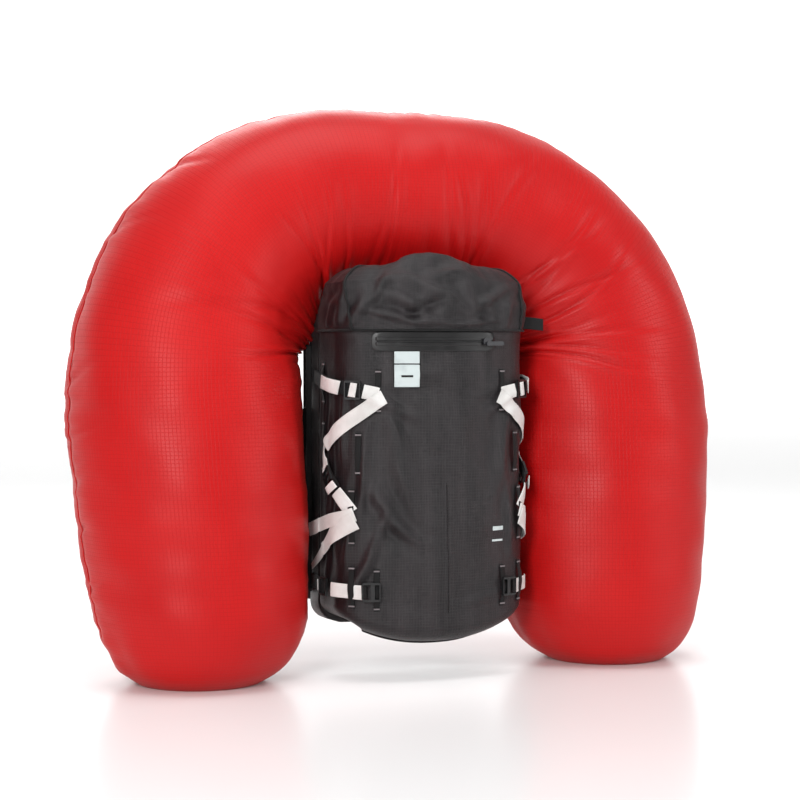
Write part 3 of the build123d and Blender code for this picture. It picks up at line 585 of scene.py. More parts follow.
# creases of the front and side fabric: (length round the body from the front's middle, height, direction,
# length, width, height of the crease)
BODY_FOLDS = [
    (-0.075, 0.395, -30, 0.09, 0.007, 0.0030), (-0.070, 0.360, -62, 0.15, 0.010, 0.0034),
    (-0.062, 0.300, -70, 0.16, 0.012, 0.0040), (-0.085, 0.250, -50, 0.12, 0.009, 0.0036),
    (-0.058, 0.215, -35, 0.09, 0.008, 0.0036), (-0.100, 0.205, 70, 0.12, 0.007, 0.0030),
    (-0.118, 0.300, 86, 0.16, 0.006, 0.0032), (-0.140, 0.210, 78, 0.10, 0.006, 0.0026),
    (-0.125, 0.150, 60, 0.10, 0.007, 0.0028), (-0.150, 0.370, 88, 0.14, 0.006, 0.0026),
    (-0.190, 0.300, 90, 0.20, 0.007, 0.0026), (-0.200, 0.200, 80, 0.16, 0.007, 0.0026),
    (-0.215, 0.400, 92, 0.12, 0.006, 0.0024), (-0.240, 0.260, 88, 0.22, 0.008, 0.0028),
    (0.095, 0.400, 35, 0.07, 0.007, 0.0026), (0.100, 0.330, 80, 0.16, 0.010, 0.0030),
    (0.112, 0.240, 96, 0.14, 0.008, 0.0026), (0.060, 0.115, 20, 0.10, 0.010, 0.0022),
    (-0.030, 0.440, 8, 0.14, 0.012, 0.0018), (0.040, 0.420, -14, 0.11, 0.012, 0.0016),
    (0.020, 0.330, 84, 0.22, 0.020, 0.0016), (-0.010, 0.180, 95, 0.20, 0.022, 0.0014),
    (0.190, 0.300, 90, 0.20, 0.008, 0.0024), (0.210, 0.200, 84, 0.16, 0.008, 0.0024),
    (-0.045, 0.090, -14, 0.09, 0.008, 0.0018), (0.030, 0.085, 10, 0.10, 0.008, 0.0018),
]
BOTTOM_R = 0.046  # how far the body is drawn in under its lower edge
BOTTOM_SHARE = 0.14  # the part of the rows that go round under the body


def body_height(flat):
    """How far the body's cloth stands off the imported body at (u, z) places."""
    height = 1.5 * fold_field(flat, BODY_FOLDS) + 0.0016 * smooth_noise(flat, 0.12, 2, 0.5)
    full = 0.003 * np.sin(np.clip((flat[:, 1] - 0.06) / 0.44, 0, 1) * math.pi)
    mask = np.clip((flat[:, 1] - 0.09) / 0.03, 0, 1) * np.clip((RIM_Z - flat[:, 1]) / 0.02, 0.15, 1)
    ends = np.clip((HALF_GIRTH - np.abs(flat[:, 0]) - 0.052) / 0.02, 0, 1)
    front = np.clip((0.150 - np.abs(flat[:, 0])) / 0.05, 0, 1)
    return (height + full * front - 0.0012) * mask * ends


def body_bottom(x):
    """Height of the body's lower edge: lowest in the middle of the front."""
    return body_low.z - 0.0065 + 0.030 * (abs(x) / HALF) ** 2.4


def make_body():
    cols, rows = 260, 150
    t = np.linspace(0, 2, cols)
    # leave the bay's share of each side to its own piece
    start = (BACK_Y - bay_low.y) / HALF_GIRTH
    t = start + t * (2 - 2 * start) / 2
    plan = [round_spot(v) for v in t]
    xy = np.array([p for p, n in plan])
    nn = np.array([n for p, n in plan])
    along = (t - 1) * HALF_GIRTH
    low = np.array([body_bottom(p[0]) for p in xy])
    v = np.linspace(0, 1, rows)
    points = np.zeros((rows, cols, 3))
    coords = np.zeros((rows, cols, 3))
    for r, share in enumerate(v):
        if share < BOTTOM_SHARE:  # round under
            a = (share / BOTTOM_SHARE) * math.pi / 2
            inset = BOTTOM_R * (1 - math.sin(a))
            z = low + BOTTOM_R * 0.55 * (1 - math.cos(a))
        else:
            inset = 0.0
            wall = RIM_Z + 0.006 - low - BOTTOM_R * 0.55
            z = low + BOTTOM_R * 0.55 + wall * (share - BOTTOM_SHARE) / 0.86
        points[r, :, 0] = xy[:, 0] - nn[:, 0] * inset
        points[r, :, 1] = xy[:, 1] - nn[:, 1] * inset
        points[r, :, 2] = z
        coords[r, :, 0] = along
        coords[r, :, 1] = z
    flat = coords[:, :, :2].reshape(-1, 2)
    height = body_height(flat)
    normal = np.tile(np.concatenate([nn, np.zeros((cols, 1))], 1), (rows, 1))
    points = points.reshape(-1, 3) + normal * height[:, None]
    verts = list(points)
    faces = grid_faces(rows, cols)
    # close the bottom with one bowl-shaped panel; the back stays open behind the bay's own cloth
    bottom = points[:cols]
    centre_line = np.stack([bottom[:, 0] * 0.0, np.full(cols, (FRONT_Y + bay_low.y) / 2),
                            np.full(cols, body_low.z - 0.004)], 1)
    level_start = 0
    for share in (0.75, 0.5, 0.25, 0.0):
        start_index = len(verts)
        verts.extend(centre_line + (bottom - centre_line) * share)
        for c in range(cols - 1):
            faces.append((level_start + c, start_index + c, start_index + c + 1, level_start + c + 1))
        level_start = start_index
        level = np.stack([along, 0.05 * share + 0 * along, 0 * along], 1)
        coords = np.concatenate([coords.reshape(-1, 3), level])
    piece = new_object("pack_body_cloth", verts, faces)
    cloth_coords(piece, coords)
    thicken(piece, CLOTH_THICK)
    finish_piece(piece, "root", M_PACK, ["pack_shell", "bottom_panel"])
    # a bound edge round the bottom panel
    keep = slice(2, cols - 2, 2)
    line = bottom[keep] + normal[:cols][keep] * 0.0012 - np.array([0, 0, 0.001])
    finish_piece(tube_mesh("bottom_binding", line, 0.0023), "root", M_PIPING)


def tube_mesh(name, path, radius, sides=10):
    path = np.asarray(path, float)
    along = np.gradient(path, axis=0)
    along /= np.linalg.norm(along, axis=1, keepdims=True) + 1e-12
    up = np.array([0.0, 0.0, 1.0]) if abs(along[0][2]) < 0.9 else np.array([1.0, 0.0, 0.0])
    rings = []
    side = np.cross(along[0], up)
    for p, d in zip(path, along):
        side = side - d * np.dot(side, d)
        side /= np.linalg.norm(side)
        other = np.cross(d, side)
        for k in range(sides):
            a = 2 * math.pi * k / sides
            rings.append(p + radius * (math.cos(a) * side + math.sin(a) * other))
    piece = new_object(name, rings, capped_faces(len(path), sides))
    run = run_along(path)
    coords = np.zeros((len(path), sides, 3))
    coords[:, :, 0] = run[:, None]
    coords[:, :, 1] = np.linspace(0, 2 * math.pi * radius, sides)[None, :]
    cloth_coords(piece, coords)
    return piece


make_body()


# ---------------------------------------------------------------- rear bay; the lips of the airbag's stowage slits are laid on it in make_harness
def make_bay():
    """The narrow rear part of the body: a closed, slightly soft box with rounded shoulders."""
    rise = 0.060  # how far the cloth stands above the bay, behind the lid
    shoulder, foot, inset_most, skin = 0.058, 0.030, 0.030, 0.0006
    y0, y1 = bay_low.y, bay_high.y
    z0, z1 = bay_low.z, bay_high.z + rise
    cols, rows = 120, 90
    outline = []
    for k in range(cols):
        a = 2 * math.pi * k / cols
        c, s = math.cos(a), math.sin(a)
        # a rounded rectangle by direction
        outline.append((math.copysign(abs(c) ** 0.16, c), math.copysign(abs(s) ** 0.16, s)))
    outline = np.array(outline)
    mid_y = (y0 + y1) / 2
    points, coords = [], []
    for h in np.linspace(0, 1, rows):
        z = z0 + (z1 - z0) * h
        top = max(0.0, (z - (z1 - shoulder)) / shoulder)
        low = max(0.0, ((z0 + foot) - z) / foot)
        inset = inset_most * (1 - math.sqrt(max(0.0, 1 - max(top, low) ** 2)))
        back = 0.020 * max(0.0, (z - bay_high.z) / rise)
        for k, (ox, oy) in enumerate(outline):
            front_y = mid_y - ((y1 - y0) / 2 - skin) + back
            rear_y = mid_y + ((y1 - y0) / 2 - skin)
            points.append((ox * (HALF - inset), (front_y + rear_y) / 2 + oy * (rear_y - front_y) / 2, z))
            coords.append((k / cols * 2 * (2 * HALF + y1 - y0), z, 0.0))
    points = np.array(points)
    flat = np.array(coords)[:, :2]
    side = np.sign(points[:, 0])[:, None] * np.array([[1.0, 0, 0]])
    on_sides = np.abs(points[:, 0]) > HALF * 0.9
    points = points + side * ((0.0008 * smooth_noise(flat, 0.09, 2, 0.9)) * on_sides)[:, None]
    faces = grid_faces(rows, cols, wrap=True)
    verts = list(points)
    verts.append(points[:cols].mean(0))
    verts.append(points[-cols:].mean(0))
    coords += [(0, z0, 0), (0, z1, 0)]
    for c in range(cols):
        faces.append((len(verts) - 2, (c + 1) % cols, c))
        faces.append((len(verts) - 1, (rows - 1) * cols + c, (rows - 1) * cols + (c + 1) % cols))
    piece = new_object("bay_cloth", verts, faces)
    cloth_coords(piece, coords)
    finish_piece(piece, "root", M_SIDE, ["airbag_bay"])


make_bay()


# ---------------------------------------------------------------- lid
riser_low, riser_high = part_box("lid_riser")
LID_TOP = lid_high.z
# the riser's front face leans back from its foot to its top
RISER_FOOT_Z, RISER_TOP_Z = 0.515, 0.618
RISER_FOOT_Y, RISER_TOP_Y = -0.052, -0.088
# creases of the lid, as in BODY_FOLDS, with the way up the lid in place of the height
LID_FOLDS = [
    (-0.075, 0.030, -24, 0.13, 0.008, 0.0042), (-0.055, 0.052, -42, 0.12, 0.009, 0.0044),
    (-0.030, 0.040, 35, 0.09, 0.010, -0.0052), (-0.020, 0.075, -30, 0.10, 0.009, 0.0036),
    (0.035, 0.058, -62, 0.09, 0.010, -0.0046), (0.060, 0.045, -70, 0.10, 0.010, -0.0050),
    (0.080, 0.075, 40, 0.10, 0.008, 0.0038), (0.055, 0.018, 12, 0.10, 0.007, 0.0030),
    (-0.100, 0.080, 60, 0.10, 0.008, 0.0036), (0.105, 0.035, 84, 0.10, 0.008, 0.0030),
    (-0.010, 0.016, -6, 0.13, 0.007, 0.0028), (0.010, 0.105, 20, 0.11, 0.009, 0.0030),
    (-0.125, 0.050, 74, 0.12, 0.008, 0.0036), (-0.150, 0.060, 86, 0.12, 0.009, 0.0034),
    (-0.175, 0.045, 70, 0.10, 0.008, 0.0030), (0.150, 0.060, 80, 0.12, 0.009, 0.0032),
    (0.180, 0.045, 100, 0.10, 0.008, 0.0030), (-0.060, 0.100, -10, 0.10, 0.010, 0.0030),
]


def lid_back(z):
    """Where the lid's back edge runs beside the riser."""
    share = min(max((z - RISER_FOOT_Z) / (RISER_TOP_Z - RISER_FOOT_Z), 0), 1)
    return RISER_FOOT_Y + (RISER_TOP_Y - RISER_FOOT_Y) * share


def make_lid():
    """The lid's shell: rows from the skirt up, columns round the front, closed over the top."""
    cols, rows = 240, 110
    back = lid_back(RIM_Z)
    start = (BACK_Y - (back - 0.0015)) / HALF_GIRTH
    t = start + np.linspace(0, 2, cols) * (2 - 2 * start) / 2
    plan = [round_spot(v) for v in t]
    xy = np.array([p for p, n in plan])
    nn = np.array([n for p, n in plan])
    along = (t - 1) * HALF_GIRTH
    wall_top = 0.60  # the part of the rows that make the wall; the rest close the top
    loft = 0.0034  # how far the cloth stands off the plan
    back_gap = 0.0022
    points = np.zeros((rows, cols, 3))
    coords = np.zeros((rows, cols, 3))
    for r, share in enumerate(np.linspace(0, 1, rows)):
        for c in range(cols):
            x, y = xy[c]
            crown = 1 / (1 + math.exp((abs(x + 0.015) - 0.060) / 0.011))
            top = LID_TOP - 0.0235 + 0.005 * (1 - (abs(x) / HALF) ** 4) + 0.0170 * crown
            if share <= wall_top:  # the wall
                k = share / wall_top
                z = RIM_Z + (top - 0.022 - RIM_Z) * k
                lean = 0.009 * max(0.0, (z - 0.530) / 0.080) ** 1.5
                swell = 0.0020 * math.sin(min(1.0, k * 1.3) * math.pi)
                px = x + nn[c, 0] * (loft + swell - lean)
                py = y + nn[c, 1] * (loft + swell - lean)
                # the front's upper part falls away towards the back
                fall = max(0.0, (z - 0.545) / 0.06)
                front = max(0.0, -nn[c, 1])
                py += 0.020 * front * fall**1.8
            else:
                k = (share - wall_top) / (1 - wall_top)
                edge = points[int(round(wall_top * (rows - 1))), c]
                lift = min(1.0, k / 0.30)
                z = edge[2] + (top - edge[2]) * math.sin(lift * math.pi / 2)
                depth = 1 - k
                px = edge[0] * depth ** 0.85
                py = edge[1] * depth ** 0.85 + (lid_back(z) - 0.003) * (1 - depth ** 0.85)
            py = min(py, lid_back(z) - back_gap)
            points[r, c] = px, py, z
            coords[r, c] = along[c], share * 0.19, 0
    flat = coords[:, :, :2].reshape(-1, 2)
    normal = normals_of(points, rows, cols)
    height = 1.25 * fold_field(flat, LID_FOLDS) + 0.0012 * smooth_noise(flat, 0.07, 2, 0.2)
    mask = np.clip(flat[:, 1] / 0.012, 0, 1)
    ends = np.clip((HALF_GIRTH * 0.76 - np.abs(flat[:, 0])) / 0.03, 0.15, 1)
    moved = points.reshape(-1, 3) + normal * ((height - 0.0006) * mask * ends)[:, None]
    moved[:, 1] = np.minimum(moved[:, 1], np.array([lid_back(z) for z in moved[:, 2]]) - back_gap)
    piece = new_object("lid_cloth", moved, grid_faces(rows, cols))
    cloth_coords(piece, coords)
    thicken(piece, CLOTH_THICK)
    finish_piece(piece, "lid", M_PACK, ["lid"])
    grid = moved.reshape(rows, cols, 3)
    hem = grid[0][::2] + np.array([0, 0, 0.001]) + np.concatenate([nn, np.zeros((cols, 1))], 1)[::2] * 0.0006
    finish_piece(tube_mesh("lid_hem", hem, 0.0017), "lid", M_PIPING)
    for side, tag in ((-1, "left"), (1, "right")):
        # the piped seam between the front and the side panel
        picked = []
        for r in range(2, 100, 2):
            c = int(np.argmin(np.abs(along - side * (0.132 + 0.020 * r / 100))))
            picked.append(grid[r, c] + normal.reshape(rows, cols, 3)[r, c] * 0.0008)
        seam = spline(picked[::3], 60)
        finish_piece(tube_mesh(f"lid_seam_{tag}", seam, 0.0021), "lid", M_PIPING)


make_lid()


# ---------------------------------------------------------------- riser behind the lid
def make_riser():
    cols, rows = 60, 40
    points, coords = [], []
    for r in range(rows):
        for c in range(cols):
            x = riser_low.x + (riser_high.x - riser_low.x) * c / (cols - 1)
            crown = 1 / (1 + math.exp((abs(x + 0.015) - 0.055) / 0.012))
            limit = LID_TOP - 0.036 - 0.020 * (abs(x) / riser_high.x) ** 4 + 0.012 * crown
            level = riser_low.z + (limit - riser_low.z) * r / (rows - 1)
            share = (level - RISER_FOOT_Z) / (RISER_TOP_Z - RISER_FOOT_Z)
            points.append((x, RISER_FOOT_Y + (RISER_TOP_Y - RISER_FOOT_Y) * share + 0.0012, level))
            coords.append((x, level, 0))
    points = np.array(points)
    flat = np.array(coords)[:, :2]
    points[:, 1] += 0.0012 * np.clip(smooth_noise(flat, 0.08, 2, 0.4), 0, 1)
    piece = new_object("riser_cloth", points, grid_faces(rows, cols))
    cloth_coords(piece, coords)
    thicken(piece, CLOTH_THICK, 0)
    finish_piece(piece, "root", M_PACK, ["lid_riser"])


make_riser()


# ---------------------------------------------------------------- straps, loops and tapes on the body
def on_body(u, z, lift):
    """Points on the body's surface at signed girth u from the front's middle, raised by lift."""
    u, z, lift = np.broadcast_arrays(np.asarray(u, float), np.asarray(z, float), np.asarray(lift, float))
    side, a = np.sign(u) + (u == 0), np.abs(u)
    front = a <= FRONT_LENGTH
    corner = (a > FRONT_LENGTH) & (a <= FRONT_LENGTH + CORNER_LENGTH)
    f_turn = a / FRONT_R
    c_turn = CORNER_TURN - (a - FRONT_LENGTH) / CORNER_R
    x = np.where(front, np.sin(f_turn) * (FRONT_R + lift),
                 np.where(corner, CORNER_X + np.cos(c_turn) * (CORNER_R + lift), HALF + lift))
    y = np.where(front, ARC_Y - np.cos(f_turn) * (FRONT_R + lift),
                 np.where(corner, CORNER_Y - np.sin(c_turn) * (CORNER_R + lift),
                          CORNER_Y + a - FRONT_LENGTH - CORNER_LENGTH))
    return np.stack([x * side, y, z], -1)


def from_front(x):
    return math.asin(x / FRONT_R) * FRONT_R


def from_corner(angle):
    return FRONT_LENGTH + CORNER_R * (CORNER_TURN - math.radians(angle))


def from_side(y):
    return FRONT_LENGTH + CORNER_LENGTH + y / 1000 - CORNER_Y


def body_strap(name, path, width, thick, side, material, slot, replaces=(), ripple=0.0, seed=1):
    """Webbing along a path of (u, z, lift) on the body, its width laid on the surface.

    side -1 is the left. ripple raises it in waves that seed shifts.
    """
    p = np.asarray(path, float)
    if len(p) > 2:
        p = spline(p, 90)
    else:
        p = p[0] + (p[1] - p[0]) * np.linspace(0, 1, 60)[:, None]
    u, z, lift = p.T
    du, dz = np.gradient(u), np.gradient(z)
    length = np.hypot(du, dz) + 1e-9
    nu, nz = -dz / length, du / length
    run = np.concatenate([[0], np.cumsum(np.hypot(np.diff(u), np.diff(z)))])
    across = np.array([-1.0, -0.94, -0.6, -0.2, 0.2, 0.6, 0.94, 1.0])
    wide = np.broadcast_to(np.asarray(width, float), u.shape) / 2
    U = u[:, None] + nu[:, None] * wide[:, None] * across
    Z = z[:, None] + nz[:, None] * wide[:, None] * across
    wave = ripple * np.sin(run[:, None] / 0.013 + across * 0.9 + seed) * np.sin(run[:, None] / 0.031 + seed)
    fabric_height = body_height(np.stack([U.ravel(), Z.ravel()], 1)).reshape(U.shape)
    base = np.maximum(fabric_height, 0) + lift[:, None] + wave
    top = base + thick * np.where(np.abs(across) > 0.97, 0.55, 1.0)
    low = base + thick * np.where(np.abs(across) > 0.97, 0.45, 0.0)
    upper, under = on_body(U, Z, top), on_body(U, Z, low)
    rows, cols = U.shape
    ring = np.concatenate([upper, under[:, ::-1]], 1)
    flip = -1.0 if side < 0 else 1.0
    ring = ring * np.array([flip, 1, 1])
    verts = ring.reshape(-1, 3)
    faces = grid_faces(rows, 2 * cols, wrap=True, flip=side < 0)
    faces.append(tuple(range(2 * cols))[:: 1 if side < 0 else -1])
    faces.append(tuple((rows - 1) * 2 * cols + c for c in range(2 * cols))[:: -1 if side < 0 else 1])
    piece = new_object(name, verts, faces)
    coords = np.zeros((rows, 2 * cols, 3))
    coords[:, :, 0] = run[:, None]
    coords[:, :cols, 1] = across * np.mean(wide)
    coords[:, cols:, 1] = across[::-1] * np.mean(wide)
    cloth_coords(piece, coords)
    return finish_piece(piece, "root", material, replaces)


WEB, WEB_THICK = 0.020, 0.0014
# lash loops: girth from the front's middle, low end, high end, and 1 where a strap goes under
LOOPS = [(from_front(0.095), 0.386, 0.448, 0), (from_front(0.097), 0.104, 0.164, 1),
         (from_corner(62), 0.298, 0.358, 0), (from_corner(50), 0.198, 0.278, 1),
         (from_corner(50), 0.108, 0.168, 1),
         (from_side(-72), 0.398, 0.458, 1), (from_side(-72), 0.300, 0.372, 0)]
LOOP_WEB, LOOP_THICK, LOOP_SEWN, LOOP_EDGE, BARTACK_IN = 0.0084, 0.0012, 0.007, 0.0042, 0.0030
# the straps of one side, in order: name, colour, width, (u, z, lift) path, and what body_strap is told besides
STRAPS = [
    # tab, through the upper buckle, under the diagonal to the front loop
    ("strap_tab", "pale", WEB, [(0.1990, 0.4300, 0.0085), (0.1860, 0.4290, 0.0100), (0.1600, 0.4245, 0.0112),
                                (0.1475, 0.4220, 0.0110)], {"replaces": "side_strap", "ripple": 0.0009}),
    ("strap_gap", "pale", WEB, [(0.1345, 0.4199, 0.0088), (0.1300, 0.4191, 0.0094),
                                (0.1262, 0.4186, 0.0088)], {}),
    ("strap_upper", "pale", WEB, [(0.1178, 0.4172, 0.0066), (0.1080, 0.4150, 0.0040),
                                  (0.0960, 0.4125, 0.0022)], {}),
    ("strap_anchor", "black", WEB, [(from_side(-30), 0.4370, 0.0008), (from_side(-84), 0.4290, 0.0014),
                                    (0.1560, 0.4240, 0.0054), (0.1180, 0.4175, 0.0062)], {}),
    # the zigzag down the side
    ("strap_diagonal", "pale", 0.0205, [(0.0885, 0.4092, 0.0052), (0.0960, 0.4045, 0.0052),
                                        (0.1380, 0.3745, 0.0030), (0.1800, 0.3445, 0.0034),
                                        (0.1880, 0.3385, 0.0040)], {"ripple": 0.0003, "seed": 2}),
    ("strap_second", "pale", [0.006] * 8 + list(np.linspace(0.006, WEB, 40)) + [WEB] * 42,
     [(0.1985, 0.3500, 0.0010), (0.2020, 0.3360, 0.0020), (0.1960, 0.3200, 0.0046), (0.1830, 0.3050, 0.0076)],
     {"ripple": 0.0005, "seed": 4}),
    ("strap_second_web", "black", WEB * 0.9, [(0.1880, 0.3130, 0.0050), (0.1700, 0.2950, 0.0064),
                                              (0.1560, 0.2780, 0.0060)], {}),
    ("strap_second_tab", "pale", WEB, [(0.1640, 0.2840, 0.0122), (0.1570, 0.2755, 0.0120)], {}),
    ("strap_third", "pale", WEB, [(0.1560, 0.2740, 0.0062), (0.1500, 0.2670, 0.0058), (0.1390, 0.2520, 0.0034),
                                  (0.1340, 0.2450, 0.0030)], {"seed": 3}),
    ("strap_tail", "pale", WEB, [(0.1290, 0.2425, 0.0058), (0.1450, 0.2372, 0.0060), (0.2000, 0.2245, 0.0075),
                                 (0.2510, 0.2120, 0.0092)], {"ripple": 0.0003}),
    ("strap_lower", "pale", [0.025] * 20 + list(np.linspace(0.025, 0.009, 70)),
     [(0.1278, 0.2335, 0.0078), (0.1360, 0.2290, 0.0074), (0.1800, 0.2030, 0.0040), (0.2300, 0.1740, 0.0016),
      (0.2640, 0.1560, 0.0010)], {"ripple": 0.0004, "seed": 6}),
    # base strap: from the side, through a buckle and the corner's loop, to the hook buckle
    ("base_web", "pale", 0.0205, [(0.1660, 0.1335, 0.0066), (0.1560, 0.1333, 0.0052), (0.1440, 0.1328, 0.0030),
                                  (0.1360, 0.1322, 0.0020), (0.1280, 0.1316, 0.0036), (0.1180, 0.1312, 0.0064)],
     {"replaces": "base_strap", "ripple": 0.0005}),
    ("base_anchor", "black", WEB, [(from_side(-18), 0.1370, 0.0012), (from_side(-78), 0.1350, 0.0052),
                                   (from_side(-94), 0.1340, 0.0070)], {}),
    ("base_edge", "pale", 0.016, [(from_side(-70), 0.1350, 0.0095), (from_side(-77), 0.1350, 0.0112)], {}),
    ("base_hook_end", "black", WEB, [(0.1200, 0.1316, 0.0066), (0.1130, 0.1318, 0.0078)], {"thick": 0.0018}),
]


def make_straps():
    for side, tag in ((-1, "left"), (1, "right")):
        for name, tone, width, path, extra in STRAPS:
            told = {"thick": WEB_THICK, **extra}
            if "replaces" in told:
                told["replaces"] = [f"{told['replaces']}_{tag}"]
            look = M_PALE_WEB if tone == "pale" else M_BLACK_WEB
            body_strap(f"{name}_{tag}", path, width, side=side, material=look, slot=f"{tone}_webbing", **told)
        for number, (u, low, high, room) in enumerate(LOOPS):
            rise = 0.0024 if room else 0.0016
            bulge = 0.0022 if room else 0.0008
            path = [(u, low, 0.0006), (u, low + LOOP_SEWN, rise * 0.5),
                    (u + 0.0006, (low + high) / 2, rise + bulge),
                    (u, high - LOOP_SEWN, rise * 0.5), (u, high, 0.0006)]
            body_strap(f"loop_{tag}_{number}", path, LOOP_WEB, LOOP_THICK, side, M_BLACK_WEB, "black_webbing",
                       ["lash_loops"] if number == 0 and side < 0 else ())
            for end, z in enumerate((low + BARTACK_IN, high - BARTACK_IN)):
                row = [(u - LOOP_EDGE, z, LOOP_THICK), (u + LOOP_EDGE, z, LOOP_THICK)]
                body_strap(f"bartack_{tag}_{number}_{end}", row, 0.0021, 0.0015, side, M_THREAD, "pale_thread",
                           ["loop_bartacks"] if number == 0 and end == 0 and side < 0 else ())


make_straps()


# ---------------------------------------------------------------- zip, patch, print and seams on the front
def flat_patch(name, corners, lift, material, replaces=(), round_by=0.002, thick=0.0006, steps=26):
    """A thin piece laid on the body between (u, z) corners, its outline smoothed at the corners."""
    pts = []
    n = len(corners)
    for i in range(n):
        p, a, b = np.array(corners[i]), np.array(corners[i - 1]), np.array(corners[(i + 1) % n])
        da, db = (a - p), (b - p)
        ra = min(round_by, np.linalg.norm(da) / 2.01)
        rb = min(round_by, np.linalg.norm(db) / 2.01)
        s, e = p + da / np.linalg.norm(da) * ra, p + db / np.linalg.norm(db) * rb
        for t in np.linspace(0, 1, 6):
            pts.append((1 - t) ** 2 * s + 2 * t * (1 - t) * p + t * t * e)
    pts = np.array(pts)
    closed = np.vstack([pts, pts[:1]])
    run = run_along(closed)
    want = np.linspace(0, run[-1], steps * 6 + 1)[:-1]
    edge = np.stack([np.interp(want, run, closed[:, k]) for k in range(2)], 1)
    centre = edge.mean(0)
    rings = [edge, edge + (centre - edge) * 0.012]
    rings += [edge + (centre - edge) * share for share in (0.1, 0.25, 0.4, 0.55, 0.7, 0.85, 0.95)]
    lifts = [lift, lift + thick] + [lift + thick] * 7
    verts, coords = [], []
    for ring, up in zip(rings, lifts):
        h = np.maximum(body_height(ring), 0) + up
        verts.extend(on_body(ring[:, 0], ring[:, 1], h))
        coords.extend([[q[0], q[1], 0] for q in ring])
    m = len(edge)
    faces = grid_faces(len(rings), m, wrap=True)
    tip = len(verts)
    verts.append(on_body(centre[0], centre[1], np.maximum(body_height(centre[None])[0], 0) + lift + thick))
    coords.append([centre[0], centre[1], 0])
    for c in range(m):
        faces.append(((len(rings) - 1) * m + c, (len(rings) - 1) * m + (c + 1) % m, tip))
    piece = new_object(name, verts, faces)
    cloth_coords(piece, coords)
    return finish_piece(piece, "root", material, replaces)


def level_block(left, right, low, high):
    """The corners of an upright (u, z) rectangle."""
    return [(left, low), (right, low), (right, high), (left, high)]


def make_front():
    z0, z1 = zip_low.z, zip_high.z
    left, right = -from_front(-zip_low.x), from_front(zip_high.x)
    mid = (z0 + z1) / 2
    flat_patch("zip_laminate_cloth", level_block(left, right, z0, z1), 0.0004, M_ZIP,
               ["zip_tape"], round_by=0.012)
    for name, u0, u1, z, w, lift, look in (
            ("zip_line", left + 0.008, right - 0.004, mid, 0.0016, 0.0012, M_RUBBER),
            ("zip_lip_low", left + 0.006, right - 0.002, mid - 0.0036, 0.0052, 0.0005, M_ZIP),
            ("zip_lip_high", left + 0.006, right - 0.002, mid + 0.0036, 0.0052, 0.0005, M_ZIP)):
        body_strap(name, [(u0, z, lift), (u1, z, lift)], w, 0.0008, 1, look, "zip_laminate")
    p_low, p_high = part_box("reflective_patch")
    a, b = -from_front(-p_low.x), -from_front(-p_high.x)
    split, gap, rim = p_low.z + 0.032, 0.0016, 0.0012
    flat_patch("patch_edge", level_block(a - rim, b + rim, p_low.z - rim, p_high.z + rim), 0.0003, M_PIPING,
               ["reflective_patch"], round_by=0.001)
    flat_patch("patch_low", level_block(a, b, p_low.z, split), 0.0012, M_REFLECT, round_by=0.0008)
    flat_patch("patch_high", level_block(a, b, split + gap, p_high.z), 0.0012, M_REFLECT,
               round_by=0.0008)
    # plain level bars where the photographed pack is printed: they say nothing
    mid_u, bar_z, half_bar, bar_tall = (a + b) / 2, p_low.z + 0.014, 0.0085, 0.0030
    flat_patch("patch_bar", level_block(mid_u - half_bar, mid_u + half_bar, bar_z, bar_z + bar_tall), 0.0020,
               M_PIPING, round_by=0.0002, thick=0.0002)
    bar_left, bar_right = 0.0800, 0.1000
    for number, (z, tall) in enumerate(((0.214, 0.0060), (0.198, 0.0030))):
        flat_patch(f"print_bar_{number}", level_block(bar_left, bar_right, z, z + tall), 0.0006, M_REFLECT,
                   round_by=0.0004, thick=0.0002)
    # the seam down the lower half of the front
    body_strap("front_seam", [(0.0080, 0.100, 0.0003), (0.0060, 0.200, 0.0003), (0.0035, 0.285, 0.0002)],
               0.0015, 0.0004, 1, M_PACK, "pack_fabric")


make_front()


# ---------------------------------------------------------------- other webbing and soft pieces
def box_soft(name, node, body, material, puff=0.0, round_by=0.003, axis=1):
    """A soft block in place of a boxy node: rounded edges, faces gently domed along axis."""
    low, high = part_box(node)
    low, high = np.array(low), np.array(high)
    centre, half = (low + high) / 2, (high - low) / 2
    verts, faces = [], []
    cell = 0.006
    dims = [max(4, min(26, int(h * 2 / cell))) for h in half]
    for ax in range(3):
        for s in (-1, 1):
            b, c = [k for k in range(3) if k != ax]
            nb, nc = dims[b], dims[c]
            start = len(verts)
            for i in range(nb + 1):
                for j in range(nc + 1):
                    p = np.zeros(3)
                    p[ax], p[b], p[c] = s, 2 * i / nb - 1, 2 * j / nc - 1
                    verts.append(p)
            for i in range(nb):
                for j in range(nc):
                    k = start + i * (nc + 1) + j
                    quad = (k, k + 1, k + nc + 2, k + nc + 1)
                    turned = s < 0 if ax == 1 else s > 0
                    faces.append(quad[::-1] if turned else quad)
    v = np.array(verts)
    inner = np.clip(half - round_by, 1e-4, None)
    q = v * half
    core = np.clip(q, -inner, inner)
    d = q - core
    n = np.linalg.norm(d, axis=1, keepdims=True)
    q = np.where(n > 1e-9, core + d / np.maximum(n, 1e-9) * np.minimum(n, round_by), q)
    dome = np.ones(len(v))
    for k in range(3):
        if k != axis:
            dome *= np.clip(1 - np.abs(v[:, k]) ** 4, 0, 1)
    q[:, axis] += np.sign(v[:, axis]) * puff * dome
    piece = new_object(name, q + centre, faces)
    b, c = [k for k in range(3) if k != axis]
    coords = np.stack([q[:, b], q[:, c], 0 * q[:, 0]], 1)
    cloth_coords(piece, coords)
    weld(piece)
    return finish_piece(piece, body, material, [node])


def weld(piece):
    work = bmesh.new()
    work.from_mesh(piece.data)
    bmesh.ops.remove_doubles(work, verts=work.verts, dist=1e-5)
    bmesh.ops.recalc_face_normals(work, faces=work.faces)
    work.to_mesh(piece.data)
    work.free()


